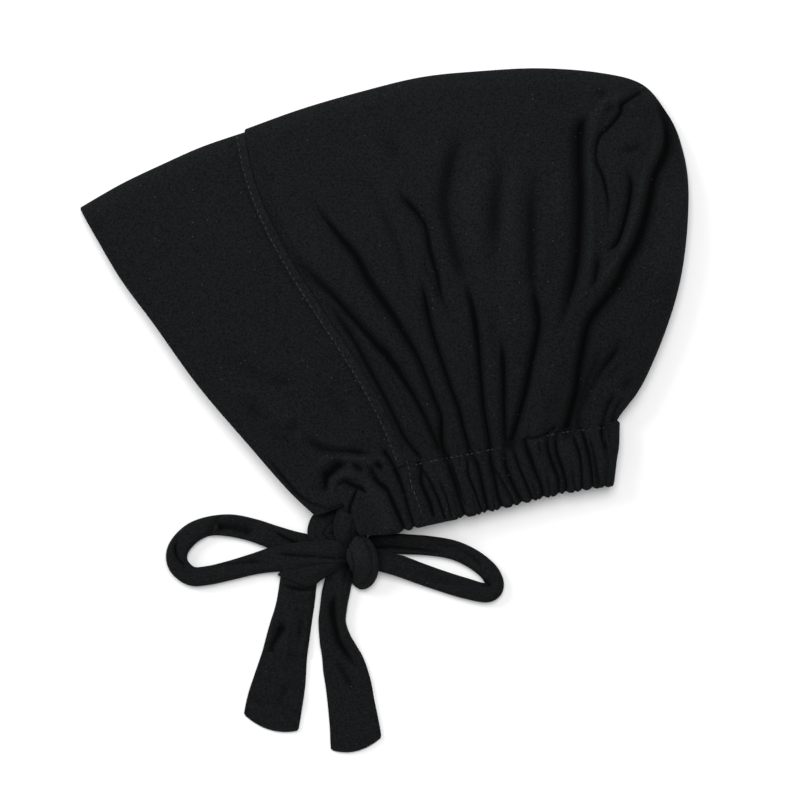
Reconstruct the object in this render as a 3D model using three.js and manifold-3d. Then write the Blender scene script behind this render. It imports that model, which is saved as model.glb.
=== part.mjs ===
// An underscarf cap lying on its side, closed edge up the page and bow towards the foot of it.
// It is a folded bag of jersey: two layers joined along the closed edge that runs from the
// forehead tip over the crown to the nape, and open along the face edge and the neck.
// +X points to the back of the head, +Y to the top of the head, +Z up from the surface.
import * as THREE from "three";
import { mergeVertices } from "three/addons/utils/BufferGeometryUtils.js";
import Module from "manifold-3d";

const wasm = await Module();
wasm.setup();

// Driving sizes, in millimetres.
const CAP_LENGTH = 304.5; // forehead tip to the back of the crown
const CAP_DEPTH = 234.5; // top of the crown to the lower edge of the casing
const CROWN_WALL = 1.4; // one layer of jersey, gathered
const PANEL_WALL = 1.8; // two layers of the same jersey
const EDGE_ROLL = 9; // how far in from the closed edge its soft rounding reaches
const EDGE_HEIGHT = 8; // thickness of the lying cap just inside the closed edge
const FACE_LIFT = 4; // how far the upper layer arches over the face opening
const SEAM_LIFT = 8; // the same arch at the seam
const CROWN_LIFT = 12; // and over the middle of the crown
const FOLD_DEPTH = 3.6; // deepest gather fold of the crown
const DIMPLE_DEPTH = 4; // deepest crease of the front panel
const SEAM_STRIP = 5; // from the join back to the topstitching
const SEAM_RISE = 1; // what the turned allowance adds under it
const CASING_HEIGHT = 30; // the gathered casing, at the middle of its length
const CASING_THICK = 4.4; // two layers of jersey over the elastic
const NECK_GAP = 5.6; // between the casing's two layers
const PLEAT_DEPTH = 1.3; // furrows of the gathered casing
const PLEATS = 22; // furrows along one layer of the casing
const SCALLOP = 0.8; // how far the furrows draw in the casing's lower edge
const FRONT_SLANT = 4; // how far the casing's open end leans out of square, at each edge
const NAPE_SLANT = 4; // and its fold at the nape
const TIE_WIDTH = 28; // the strap, laid flat
const TIE_THICK = 1.6; // the strap is a flattened tube of jersey
const KNOT_HEIGHT = 16; // bow knot, above the surface
const LOOP_WIDTH = 23; // the strap drawn together in the loops
const LEFT_LOOP = 97; // knot centre to the far end of the left loop
const RIGHT_LOOP = 73; // and of the right loop
const LEFT_TAIL = 95.5; // knot centre to the tail's cut end
const RIGHT_TAIL = 99;
const ROOT_REACH = 36; // knot centre to where the straps leave the casing
const GAP = 0.35; // clearance between pieces

const UPPER = 2 * CASING_THICK + NECK_GAP; // top of the casing's upper layer
const SEGMENTS = 3; // of the rounded closed edge, on each side of it
const GATHER_CELL = 0.021; // widest step between the crown's rings, as a share of its foot
const SEAM_EASE = 0.4; // share of the crown over which its arch grows behind the seam
const NAPE_EASE = 0.25; // and over which it sinks again to the nape
const PEAK = 27 / 4; // scales t (1 - t)^2 to a height of 1

// Closed edge of the front panel and of the crown, and the face edge.
// x and y are shares of the cap's length and depth, from its lower left corner.
const PANEL_TOP = [
  { x: 0.0, y: 0.702 },
  { x: 0.067, y: 0.752 },
  { x: 0.133, y: 0.793 },
  { x: 0.199, y: 0.831 },
  { x: 0.271, y: 0.863 },
];
const CROWN_TOP = [
  { x: 0.271, y: 0.869 },
  { x: 0.363, y: 0.912 },
  { x: 0.461, y: 0.949 },
  { x: 0.56, y: 0.98 },
  { x: 0.658, y: 0.993 },
  { x: 0.757, y: 0.999 },
  { x: 0.856, y: 0.989 },
  { x: 0.923, y: 0.965 },
  { x: 0.962, y: 0.908 },
  { x: 0.986, y: 0.844 },
  { x: 0.999, y: 0.74 },
  { x: 0.986, y: 0.56 },
  { x: 0.938, y: 0.37 },
  { x: 0.886, y: 0.252 },
];
const FACE_EDGE = [
  { x: 0.388, y: 0.046 },
  { x: 0.345, y: 0.099 },
  { x: 0.281, y: 0.194 },
  { x: 0.197, y: 0.322 },
  { x: 0.126, y: 0.45 },
  { x: 0.071, y: 0.546 },
  { x: 0.027, y: 0.641 },
  { x: 0.0, y: 0.702 },
];
// Middle line of the casing, from its open front end to the nape, with its height there as a
// share of CASING_HEIGHT.
const CASING_LINE = [
  { x: 0.4417, y: 0.054, height: 0.86 },
  { x: 0.501, y: 0.068, height: 1.06 },
  { x: 0.56, y: 0.0915, height: 1.08 },
  { x: 0.675, y: 0.1225, height: 1.05 },
  { x: 0.788, y: 0.158, height: 1.06 },
  { x: 0.878, y: 0.174, height: 1.03 },
];
const CASING_SEAM = 0.25; // share of the casing's length where the seam crosses it
const FURROWED = 0.14; // share of the casing's length behind its smooth open end
const END_LEAN = 0.15; // share of the casing's length over which each end leans
const PANEL_TIP = 0.17; // share of the panel's foot that lies ahead of the casing
const PANEL_CORNER = 0.28; // and where it turns from the casing's open end to its top
const FRONT_MEETS = 0.25; // how far up the casing's open end the panel's edge meets it

// Gathers of the crown: each is a furrow from the casing, at the share foot of the crown's foot
// line, towards the share crest of the closed edge. low and high bow it to the back at a third
// and at two thirds of the way, as shares of CAP_LENGTH. The furrow is open between the shares
// from and to of its length; width is a share of the foot line, depth one of FOLD_DEPTH.
const GATHERS = [
  { foot: 0.0, crest: 0.0, low: 0.014, high: -0.032, from: 0.0, to: 0.1, width: 0.02, depth: 0 },
  { foot: 0.039, crest: 0.006, low: 0.003, high: -0.027, from: -0.2, to: 0.66, width: 0.015, depth: 0.85 },
  { foot: 0.12, crest: 0.01, low: 0.003, high: -0.034, from: -0.2, to: 0.4, width: 0.014, depth: 0.4 },
  { foot: 0.2, crest: 0.015, low: 0.008, high: -0.04, from: -0.2, to: 0.66, width: 0.022, depth: 1.0 },
  { foot: 0.222, crest: 0.033, low: 0.026, high: -0.012, from: 0.12, to: 0.82, width: 0.015, depth: 0.7 },
  { foot: 0.299, crest: 0.082, low: 0.018, high: 0.026, from: -0.2, to: 0.54, width: 0.018, depth: 0.75 },
  { foot: 0.358, crest: 0.123, low: 0.018, high: 0.04, from: 0.28, to: 0.78, width: 0.018, depth: 0.8 },
  { foot: 0.427, crest: 0.28, low: 0.006, high: -0.04, from: -0.2, to: 0.84, width: 0.018, depth: 0.75 },
  { foot: 0.482, crest: 0.339, low: 0.014, high: -0.001, from: -0.2, to: 0.55, width: 0.014, depth: 0.55 },
  { foot: 0.52, crest: 0.397, low: 0.03, high: -0.012, from: -0.2, to: 0.8, width: 0.018, depth: 0.7 },
  { foot: 0.628, crest: 0.442, low: 0.012, high: 0.024, from: 0.14, to: 0.96, width: 0.022, depth: 1.0 },
  { foot: 0.798, crest: 0.572, low: -0.017, high: 0.023, from: -0.2, to: 1.0, width: 0.024, depth: 0.95 },
  { foot: 0.855, crest: 0.641, low: -0.014, high: 0.028, from: -0.2, to: 0.34, width: 0.018, depth: 0.6 },
  { foot: 1.0, crest: 0.985, low: 0.0, high: 0.0, from: 0.0, to: 0.1, width: 0.02, depth: 0 },
];
// Hollows: across and along are shares of the panel from the face edge to the seam, or of the
// crown from the seam to the nape, and of the way from the foot to the closed edge. spread and
// reach are how far the hollow runs across and along, depth is a share of DIMPLE_DEPTH.
const CROWN_HOLLOWS = [
  { across: 0.725, along: 0.84, reach: 0.1, spread: 0.045, depth: 0.75 },
];
const PANEL_HOLLOWS = [
  { across: 0.46, along: 0.1, reach: 0.07, spread: 0.13, depth: 0.9 },
  { across: 0.72, along: 0.15, reach: 0.04, spread: 0.14, depth: 0.55 },
  { across: 0.16, along: 0.07, reach: 0.09, spread: 0.06, depth: 0.5 },
  { across: 0.5, along: 0.27, reach: 0.035, spread: 0.26, depth: 0.3 },
];

// The bow's centre, as shares of the cap's length and depth.
const KNOT = { x: 0.458, y: -0.043 };
// Routes of the straps. x and y are shares of the strap's own reach, from the knot centre; rise
// lifts its underside, as a share of KNOT_HEIGHT. curl, in degrees, rolls the strap lengthwise
// into a gutter that lies open side down, and press flattens that. skew turns its cut end.
const LEFT_LOOP_ROUTE = [
  { x: -0.06, y: 0.036, rise: 0.06, curl: 250, press: 0.3 },
  { x: -0.18, y: 0.032, rise: 0.02, curl: 230, press: 0.3 },
  { x: -0.31, y: 0.052, rise: 0, curl: 225, press: 0.34 },
  { x: -0.428, y: 0.091, rise: 0, curl: 250, press: 0.5 },
  { x: -0.546, y: 0.132, rise: 0, curl: 265, press: 0.6 },
  { x: -0.665, y: 0.157, rise: 0, curl: 275, press: 0.6 },
  { x: -0.778, y: 0.153, rise: 0, curl: 320, press: 0.7 },
  { x: -0.871, y: 0.111, rise: 0, curl: 300, press: 0.7 },
  { x: -0.937, y: 0.031, rise: 0, curl: 290, press: 0.7 },
  { x: -0.934, y: -0.047, rise: 0, curl: 300, press: 0.7 },
  { x: -0.868, y: -0.104, rise: 0, curl: 325, press: 0.7 },
  { x: -0.778, y: -0.101, rise: 0, curl: 330, press: 0.7 },
  { x: -0.665, y: -0.075, rise: 0, curl: 320, press: 0.65 },
  { x: -0.546, y: -0.043, rise: 0, curl: 290, press: 0.6 },
  { x: -0.428, y: -0.015, rise: 0.1, curl: 230, press: 0.5 },
  { x: -0.31, y: 0.0, rise: 0.36, curl: 215, press: 0.4 },
  { x: -0.18, y: 0.014, rise: 0.46, curl: 230, press: 0.36 },
  { x: -0.06, y: 0.026, rise: 0.5, curl: 250, press: 0.34 },
];
const RIGHT_LOOP_ROUTE = [
  { x: 0.075, y: 0.068, rise: 0.0, curl: 320, press: 0.5 },
  { x: 0.212, y: 0.082, rise: 0, curl: 310, press: 0.5 },
  { x: 0.349, y: 0.078, rise: 0, curl: 310, press: 0.55 },
  { x: 0.486, y: 0.068, rise: 0, curl: 320, press: 0.6 },
  { x: 0.644, y: 0.041, rise: 0, curl: 325, press: 0.65 },
  { x: 0.781, y: -0.021, rise: 0, curl: 325, press: 0.65 },
  { x: 0.893, y: -0.112, rise: 0, curl: 330, press: 0.7 },
  { x: 0.93, y: -0.205, rise: 0, curl: 335, press: 0.7 },
  { x: 0.877, y: -0.255, rise: 0, curl: 330, press: 0.7 },
  { x: 0.726, y: -0.222, rise: 0, curl: 300, press: 0.65 },
  { x: 0.562, y: -0.171, rise: 0, curl: 295, press: 0.6 },
  { x: 0.418, y: -0.12, rise: 0.04, curl: 290, press: 0.6 },
  { x: 0.281, y: -0.068, rise: 0.16, curl: 285, press: 0.55 },
  { x: 0.178, y: -0.038, rise: 0.28, curl: 290, press: 0.5 },
  { x: 0.075, y: -0.01, rise: 0.36, curl: 310, press: 0.5 },
];
const LEFT_TURN_ROUTE = [
  { x: -0.05, y: 0.03, rise: 0.3, curl: 300, press: 0.4, skew: 0 },
  { x: -0.16, y: -0.02, rise: 0.3, curl: 280, press: 0.45, skew: 0 },
  { x: -0.26, y: -0.075, rise: 0.24, curl: 240, press: 0.45, skew: 0 },
  { x: -0.345, y: -0.13, rise: 0.12, curl: 205, press: 0.4, skew: 34 },
];
const LEFT_TAIL_ROUTE = [
  { x: -0.315, y: -0.1, rise: 0.02, curl: 190, press: 0.5, skew: 0 },
  { x: -0.332, y: -0.23, rise: 0, curl: 184, press: 0.4, skew: 0 },
  { x: -0.346, y: -0.304, rise: 0, curl: 178, press: 0.35, skew: 0 },
  { x: -0.366, y: -0.398, rise: 0, curl: 160, press: 0.3, skew: 0 },
  { x: -0.395, y: -0.539, rise: 0, curl: 134, press: 0.25, skew: 0 },
  { x: -0.419, y: -0.665, rise: 0, curl: 92, press: 0.2, skew: -2 },
  { x: -0.445, y: -0.78, rise: 0, curl: 55, press: 0.2, skew: -4 },
  { x: -0.463, y: -0.873, rise: 0, curl: 40, press: 0.2, skew: -6 },
];
const RIGHT_TAIL_ROUTE = [
  { x: -0.05, y: 0.02, rise: 0.12, curl: 300, press: 0.4, skew: 0 },
  { x: -0.09, y: -0.08, rise: 0.1, curl: 280, press: 0.45, skew: 0 },
  { x: -0.116, y: -0.177, rise: 0.02, curl: 258, press: 0.5, skew: 0 },
  { x: -0.129, y: -0.258, rise: 0, curl: 266, press: 0.5, skew: 0 },
  { x: -0.136, y: -0.338, rise: 0, curl: 262, press: 0.5, skew: 0 },
  { x: -0.121, y: -0.424, rise: 0, curl: 223, press: 0.45, skew: 0 },
  { x: -0.098, y: -0.495, rise: 0, curl: 187, press: 0.4, skew: 0 },
  { x: -0.078, y: -0.56, rise: 0, curl: 156, press: 0.35, skew: 0 },
  { x: -0.056, y: -0.65, rise: 0, curl: 136, press: 0.3, skew: 0 },
  { x: -0.04, y: -0.753, rise: 0, curl: 128, press: 0.25, skew: 3 },
  { x: -0.025, y: -0.859, rise: 0, curl: 112, press: 0.2, skew: 5 },
  { x: -0.015, y: -0.95, rise: 0, curl: 92, press: 0.2, skew: 8 },
];
// The bow's knot is the strap drawn round its middle. Before it comes the first, plain knot:
// each bunched strap leaves the casing, crosses the other and goes on to the bow. wide and high
// are shares of TIE_WIDTH.
const BOW_KNOT_ROUTE = [
  { x: -0.16, y: 0.235, rise: 0.2, wide: 0.3, high: 0.2 },
  { x: -0.08, y: 0.18, rise: 0.08, wide: 0.5, high: 0.42 },
  { x: 0.014, y: 0.06, rise: 0, wide: 0.56, high: 0.56 },
  { x: 0.07, y: -0.1, rise: 0, wide: 0.54, high: 0.56 },
  { x: 0.06, y: -0.24, rise: 0, wide: 0.5, high: 0.44 },
  { x: 0.01, y: -0.33, rise: 0, wide: 0.42, high: 0.3 },
  { x: -0.06, y: -0.385, rise: 0, wide: 0.24, high: 0.16 },
];
const UPPER_ROOT_ROUTE = [
  { x: -0.16, y: 0.68, rise: 0.6, wide: 0.3, high: 0.14 },
  { x: -0.215, y: 0.5, rise: 0.5, wide: 0.33, high: 0.22 },
  { x: -0.22, y: 0.34, rise: 0.42, wide: 0.33, high: 0.24 },
  { x: -0.14, y: 0.22, rise: 0.36, wide: 0.28, high: 0.22 },
  { x: -0.02, y: 0.12, rise: 0.34, wide: 0.24, high: 0.2 },
];
const LOWER_ROOT_ROUTE = [
  { x: -0.22, y: 0.74, rise: 0.14, wide: 0.28, high: 0.12 },
  { x: -0.44, y: 0.62, rise: 0.14, wide: 0.3, high: 0.18 },
  { x: -0.58, y: 0.44, rise: 0.16, wide: 0.28, high: 0.26 },
  { x: -0.6, y: 0.26, rise: 0.14, wide: 0.26, high: 0.26 },
  { x: -0.44, y: 0.13, rise: 0.1, wide: 0.24, high: 0.22 },
  { x: -0.2, y: 0.1, rise: 0.1, wide: 0.22, high: 0.2 },
];
// How far the rounded cut ends of the tails run on at their middle, as shares of TIE_WIDTH.
const END_TONGUE = 0.12;

const COLOURS = {
  jersey: new THREE.Color(0x1c1e1f),
  strap: new THREE.Color(0x222323),
};

const clamp = THREE.MathUtils.clamp;
const lerp = THREE.MathUtils.lerp;
const smooth = (t) => THREE.MathUtils.smoothstep(t, 0, 1);

// A place on the surface from shares of the cap's length and depth.
function place(share) {
  return new THREE.Vector2((share.x - 0.5) * CAP_LENGTH, (share.y - 0.5) * CAP_DEPTH);
}

// One column of a table as a smooth function of another, which rises from row to row.
function column(rows, from, to) {
  return (at) => {
    let i = 1;
    while (i < rows.length - 1 && rows[i][from] < at) i += 1;
    const [a, b] = [rows[i - 1], rows[i]];
    const span = b[from] - a[from];
    const slope = (lo, hi) => (hi[to] - lo[to]) / (hi[from] - lo[from]);
    const rise = (k) => slope(rows[Math.max(k - 1, 0)], rows[Math.min(k + 1, rows.length - 1)]);
    const t = clamp((at - a[from]) / span, 0, 1);
    const [t2, t3] = [t * t, t * t * t];
    const ends = (2 * t3 - 3 * t2 + 1) * a[to] + (3 * t2 - 2 * t3) * b[to];
    return ends + (t3 - 2 * t2 + t) * span * rise(i - 1) + (t3 - t2) * span * rise(i);
  };
}

const panelTop = new THREE.SplineCurve(PANEL_TOP.map(place));
const crownTop = new THREE.SplineCurve(CROWN_TOP.map(place));
const faceEdge = new THREE.SplineCurve(FACE_EDGE.map(place));
const casingLine = new THREE.SplineCurve(CASING_LINE.map(place));
const casingStep = CASING_LINE.map((row, i) => ({ ...row, at: i / (CASING_LINE.length - 1) }));
const casingHeight = column(casingStep, "at", "height");

// A point beside the casing's middle line: off is how far up the page, as a share of half its
// height. Both ends of the casing lean out of square.
function besideCasing(share, off, ahead = 0) {
  const t = casingLine.getUtoTmapping(clamp(share, 0, 1));
  const along = casingLine.getTangent(t);
  const [front, nape] = [1 - share / END_LEAN, 1 - (1 - share) / END_LEAN];
  const lean = NAPE_SLANT * smooth(nape) - FRONT_SLANT * smooth(front);
  return casingLine
    .getPoint(t)
    .addScaledVector(new THREE.Vector2(-along.y, along.x), off * halfCasing(share))
    .addScaledVector(along, ahead + off * lean);
}
const halfCasing = (share) => (casingHeight(clamp(share, 0, 1)) * CASING_HEIGHT) / 2;
const casingTop = (share) => besideCasing(share, 1 + (2 * GAP) / halfCasing(share));
const casingFront = (off) => besideCasing(0, off, -2 * GAP);

// Ribs of the crown, in plan: across is 0 at the seam and 1 at the nape, along is 0 at the
// casing and 1 at the closed edge.
const ribCrest = column(GATHERS, "foot", "crest");
const ribLow = column(GATHERS, "foot", "low");
const ribHigh = column(GATHERS, "foot", "high");
function ribPoint(across, along) {
  const foot = casingTop(lerp(CASING_SEAM, 1, across));
  const crest = crownTop.getPointAt(clamp(ribCrest(across), 0, 1));
  const bowLow = ribLow(across) * PEAK * along * (1 - along) ** 2;
  const bowHigh = ribHigh(across) * PEAK * along ** 2 * (1 - along);
  const line = crest.clone().sub(foot);
  const back = new THREE.Vector2(line.y, -line.x).normalize();
  return foot
    .lerp(crest, along)
    .add(back.multiplyScalar((bowLow + bowHigh) * CAP_LENGTH));
}

// The front panel, in plan: across is 0 at the face edge and 1 at the seam.
function panelFoot(across) {
  if (across < PANEL_TIP) {
    return faceEdge.getPoint(0).lerp(casingFront(FRONT_MEETS), across / PANEL_TIP);
  }
  if (across < PANEL_CORNER) {
    return casingFront(lerp(FRONT_MEETS, 1, (across - PANEL_TIP) / (PANEL_CORNER - PANEL_TIP)));
  }
  return casingTop(((across - PANEL_CORNER) / (1 - PANEL_CORNER)) * CASING_SEAM);
}
function panelPoint(across, along) {
  const sides = faceEdge.getPointAt(along).lerp(ribPoint(0, along), across);
  const ends = panelFoot(across).lerp(panelTop.getPointAt(across), along);
  const low = faceEdge.getPointAt(0).lerp(ribPoint(0, 0), across);
  const high = faceEdge.getPointAt(1).lerp(ribPoint(0, 1), across);
  return sides.add(ends).sub(low.lerp(high, along));
}

// Height of the upper layer's outer face, before its folds and the rounding of its edge.
function archHeight(along, lift) {
  return lerp(UPPER, EDGE_HEIGHT, along) + lift * 4 * along * (1 - along);
}

// One furrow across its width: rounded at the bottom, with soft shoulders.
const furrow = (off) => Math.exp(-(off * off)) - 0.35 * Math.exp(-((Math.abs(off) - 1.7) ** 2));

function gathers(across, along) {
  let sum = 0;
  for (const fold of GATHERS) {
    const ease = smooth((along - fold.from) / 0.14) * smooth((fold.to - along) / 0.22);
    sum -= fold.depth * FOLD_DEPTH * ease * furrow((across - fold.foot) / fold.width);
  }
  return sum;
}
function hollows(rows, across, along) {
  let sum = 0;
  for (const row of rows) {
    const off = ((across - row.across) / row.spread) ** 2;
    const run = ((along - row.along) / row.reach) ** 2;
    sum -= row.depth * DIMPLE_DEPTH * Math.exp(-off - run);
  }
  return sum;
}
function crownHeight(across, along) {
  const middle = smooth(across / SEAM_EASE) * smooth((1 - across) / NAPE_EASE);
  const lift = lerp(SEAM_LIFT, CROWN_LIFT, middle) * smooth((1.04 - across) / NAPE_EASE);
  const dents = gathers(across, along) + hollows(CROWN_HOLLOWS, across, along);
  return archHeight(along, lift) + dents;
}
function panelHeight(across, along) {
  const lift = lerp(FACE_LIFT, SEAM_LIFT, smooth(across));
  return archHeight(along, lift) + hollows(PANEL_HOLLOWS, across, along);
}

// A closed mesh through rings of points, each ring an outer line out and an inner line back.
// Its two ends are closed between those two lines.
function sweep(rings) {
  const count = rings[0].length;
  const points = rings.flat().flatMap((p) => [p.x, p.y, p.z]);
  const index = [];
  const quad = (a, b, c, d) => index.push(a, b, c, a, c, d);
  for (let i = 0; i + 1 < rings.length; i += 1) {
    for (let k = 0; k < count; k += 1) {
      const [here, next] = [i * count, (i + 1) * count];
      const after = (k + 1) % count;
      quad(here + k, here + after, next + after, next + k);
    }
  }
  const last = (rings.length - 1) * count;
  for (let k = 0; k + 1 < count / 2; k += 1) {
    quad(k, count - 1 - k, count - 2 - k, k + 1);
    quad(last + k, last + k + 1, last + count - 2 - k, last + count - 1 - k);
  }
  const geometry = new THREE.BufferGeometry();
  geometry.setAttribute("position", new THREE.Float32BufferAttribute(points, 3));
  geometry.setIndex(index);
  return enclosedVolume(geometry) < 0 ? turnedOver(geometry) : geometry;
}
function enclosedVolume(geometry) {
  const p = geometry.getAttribute("position");
  const [a, b, c] = [new THREE.Vector3(), new THREE.Vector3(), new THREE.Vector3()];
  let sum = 0;
  for (let i = 0; i < geometry.index.count; i += 3) {
    a.fromBufferAttribute(p, geometry.index.getX(i));
    b.fromBufferAttribute(p, geometry.index.getX(i + 1));
    c.fromBufferAttribute(p, geometry.index.getX(i + 2));
    sum += a.dot(b.cross(c)) / 6;
  }
  return sum;
}
function turnedOver(geometry) {
  geometry.setIndex(Array.from(geometry.index.array).reverse());
  return geometry;
}

// Solids for cutting and joining, and back again.
function solidOf(geometry) {
  const bare = geometry.clone();
  bare.deleteAttribute("normal");
  bare.deleteAttribute("uv");
  const merged = mergeVertices(bare);
  const mesh = new wasm.Mesh({
    numProp: 3,
    vertProperties: merged.getAttribute("position").array,
    triVerts: new Uint32Array(merged.index.array),
  });
  return new wasm.Manifold(mesh);
}
function geometryOf(solid) {
  const mesh = solid.getMesh();
  const geometry = new THREE.BufferGeometry();
  geometry.setAttribute("position", new THREE.BufferAttribute(mesh.vertProperties, 3));
  geometry.setIndex(new THREE.BufferAttribute(mesh.triVerts, 1));
  return geometry;
}
// What is left of a solid once others are cut from it: its largest piece.
function clearOf(solid, others) {
  const rest = others.reduce((left, other) => left.subtract(other), solid);
  return rest.decompose().sort((a, b) => b.volume() - a.volume())[0];
}

// Ring of a folded layer: from the upper rim over the closed edge to the lower rim, and back
// along its inside. plan and height take the share along the rib, 0 at the rim.
function foldedRing(plan, height, wall, rows) {
  const line = Array.from({ length: 25 }, (_, i) => plan(i / 24));
  const length = line.slice(1).reduce((sum, p, i) => sum + p.distanceTo(line[i]), 0);
  const roll = Math.min(EDGE_ROLL, 0.9 * length);
  const middle = 0.45 * EDGE_HEIGHT;
  const side = (inset) => {
    const round = roll - inset;
    const reach = length - inset;
    const at = (from, sheet) => {
      const bend = Math.sqrt(Math.max(0, 1 - (1 - Math.min(from / round, 1)) ** 2));
      const along = clamp((reach - from) / length, 0, 1);
      const full = sheet > 0 ? height(along) - inset : inset;
      const p = plan(along);
      return new THREE.Vector3(p.x, p.y, middle + (full - middle) * bend);
    };
    const ring = [];
    for (let i = 0; i < rows.upper; i += 1) {
      ring.push(at(lerp(reach, round, i / rows.upper), 1));
    }
    for (let i = 0; i <= 2 * SEGMENTS; i += 1) {
      const turn = (Math.PI / 2) * (1 - i / SEGMENTS);
      ring.push(at(round * (1 - Math.cos(turn)), turn >= 0 ? 1 : -1));
    }
    for (let i = 1; i <= rows.lower; i += 1) {
      ring.push(at(lerp(round, reach, i / rows.lower), -1));
    }
    return ring;
  };
  return [...side(0), ...side(wall).reverse()];
}

// Crown: one layer of jersey, gathered on the casing. Its rings follow the gathers.
function crown() {
  const rings = [];
  const ring = (across) => {
    const plan = (along) => ribPoint(across, along);
    const height = (along) => crownHeight(across, along);
    rings.push(foldedRing(plan, height, CROWN_WALL, { upper: 10, lower: 2 }));
  };
  const start = GAP / CASING_HEIGHT / 3;
  GATHERS.slice(1).forEach((row, i) => {
    const from = Math.max(GATHERS[i].foot, start);
    const cells = Math.max(1, Math.round((row.foot - from) / GATHER_CELL));
    for (let k = 0; k < cells; k += 1) ring(lerp(from, row.foot, k / cells));
  });
  ring(0.985);
  return solidOf(sweep(rings));
}

// Front panel: two layers, raised between the topstitching and the join.
function frontPanel() {
  const width = (along) => faceEdge.getPointAt(along).distanceTo(ribPoint(0, along));
  const fromSeam = (distance) => (along) => 1 - distance / width(along);
  const cells = 6;
  const rings = [];
  const ring = (acrossAt, rise) => {
    const plan = (along) => panelPoint(acrossAt(along), along);
    const height = (along) => panelHeight(acrossAt(along), along) + rise;
    rings.push(foldedRing(plan, height, PANEL_WALL + rise, { upper: 12, lower: 2 }));
  };
  for (const across of [0, PANEL_TIP / 2, PANEL_TIP, (PANEL_TIP + PANEL_CORNER) / 2]) {
    ring(() => across, 0);
  }
  for (let i = 0; i <= cells; i += 1) {
    ring((along) => lerp(PANEL_CORNER, fromSeam(SEAM_STRIP)(along), i / cells), 0);
  }
  ring(fromSeam(0.8 * SEAM_STRIP), SEAM_RISE);
  ring(fromSeam(GAP), SEAM_RISE);
  return solidOf(sweep(rings));
}

// Casing: a flat tube of jersey round the elastic, furrowed but for its open front end, from
// there along the upper layer to the nape and back along the lower layer.
function casing(grown) {
  const low = CASING_THICK / 2;
  const turn = (CASING_THICK + NECK_GAP) / 2;
  const length = casingLine.getLength();
  const reach = (length - turn - low) / length;
  const bend = 6;
  const across = 4;
  const rings = [];
  const ring = (share, z, forward, angle, furrow) => {
    const tangent = casingLine.getTangent(casingLine.getUtoTmapping(clamp(share, 0, 1)));
    const level = tangent.clone().multiplyScalar(Math.sin(angle));
    const out = new THREE.Vector3(level.x, level.y, Math.cos(angle));
    const tight = furrow * smooth((share - FURROWED) / (0.5 * FURROWED));
    const ahead = share > 0 ? forward : forward - grown;
    const face = (side) =>
      Array.from({ length: across + 1 }, (_, k) => {
        const v = 1 - (2 * k) / across;
        const thick = low * (1 - 0.3 * v * v) + grown;
        const dent = side > 0 ? PLEAT_DEPTH * tight * (1 - 0.3 * v * v) : 0;
        const scallop = v < 0 ? (SCALLOP * tight) / halfCasing(share) : 0;
        const p = besideCasing(share, v * (1 + grown / halfCasing(share)) + scallop, ahead);
        return new THREE.Vector3(p.x, p.y, z).addScaledVector(out, side * (thick - dent));
      });
    rings.push([...face(1), ...face(-1).reverse()]);
  };
  const pleat = (share) => {
    const drift = 0.16 * Math.sin(31 * share) + 0.12 * Math.sin(57 * share);
    return 0.5 + 0.5 * Math.cos(2 * Math.PI * (PLEATS * share + drift));
  };
  const steps = 3 * PLEATS;
  for (let i = 0; i <= steps; i += 1) {
    ring((i / steps) * reach, low + 2 * turn, 0, 0, pleat(i / steps));
  }
  for (let i = 1; i < bend; i += 1) {
    const angle = (Math.PI * i) / bend;
    ring(reach, low + turn * (1 + Math.cos(angle)), turn * Math.sin(angle), angle, 0.5);
  }
  for (let i = steps; i >= 0; i -= 2) ring((i / steps) * reach, low, 0, Math.PI, pleat(i / steps));
  return solidOf(sweep(rings));
}

// Rings along a strap's route, each set down so that its underside is at its own rise. grown
// swells the strap for the room that it takes.
function routeRings(route, reach, steps, sectionOf, grown, tongue) {
  const knot = place(KNOT);
  const rows = route.map((row, i) => ({ ...row, at: i / (route.length - 1) }));
  const path = new THREE.SplineCurve(
    rows.map((row) => new THREE.Vector2(knot.x + row.x * reach, knot.y + row.y * reach)),
  );
  const names = Object.keys(route[0]).filter((name) => name !== "x" && name !== "y");
  const columns = Object.fromEntries(names.map((name) => [name, column(rows, "at", name)]));
  return Array.from({ length: steps + 1 }, (_, i) => {
    const t = i / steps;
    const row = Object.fromEntries(names.map((name) => [name, columns[name](t)]));
    const tangent = path.getTangent(t);
    const end = (i === steps) - (i === 0);
    const centre = path.getPoint(t).addScaledVector(tangent, end * grown);
    const turn = THREE.MathUtils.degToRad(row.skew ?? 0);
    const side = new THREE.Vector2(-tangent.y, tangent.x).rotateAround(new THREE.Vector2(), turn);
    const lift = Math.max(0, row.rise) * KNOT_HEIGHT;
    const lowest = Math.min(...sectionOf(row, 0).map((p) => p.y));
    const section = sectionOf(row, grown);
    const half = Math.max(...section.map((p) => Math.abs(p.x)));
    return section.map((p) => {
      const ahead = i === steps ? tongue * TIE_WIDTH * (1 - (p.x / half) ** 2) : 0;
      const q = centre.clone().addScaledVector(side, p.x).addScaledVector(tangent, ahead);
      return new THREE.Vector3(q.x, q.y, p.y - lowest + lift);
    });
  });
}

// A strap rolled lengthwise into a gutter, open side down: x across it and y up.
function strapSection(row, grown, width) {
  const cells = 5;
  const curl = THREE.MathUtils.degToRad(row.curl);
  const radius = width / curl;
  const thick = TIE_THICK / 2 + grown;
  const spread = curl / 2 + grown / radius;
  const side = (way) =>
    Array.from({ length: cells + 1 }, (_, k) => {
      const angle = spread * ((2 * k) / cells - 1);
      const squash = new THREE.Vector2(1, row.press);
      const middle = new THREE.Vector2(Math.sin(angle), Math.cos(angle)).multiply(squash);
      const out = new THREE.Vector2(row.press * Math.sin(angle), Math.cos(angle)).normalize();
      return middle.multiplyScalar(radius).addScaledVector(out, way * thick);
    });
  return [...side(1), ...side(-1).reverse()];
}
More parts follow.
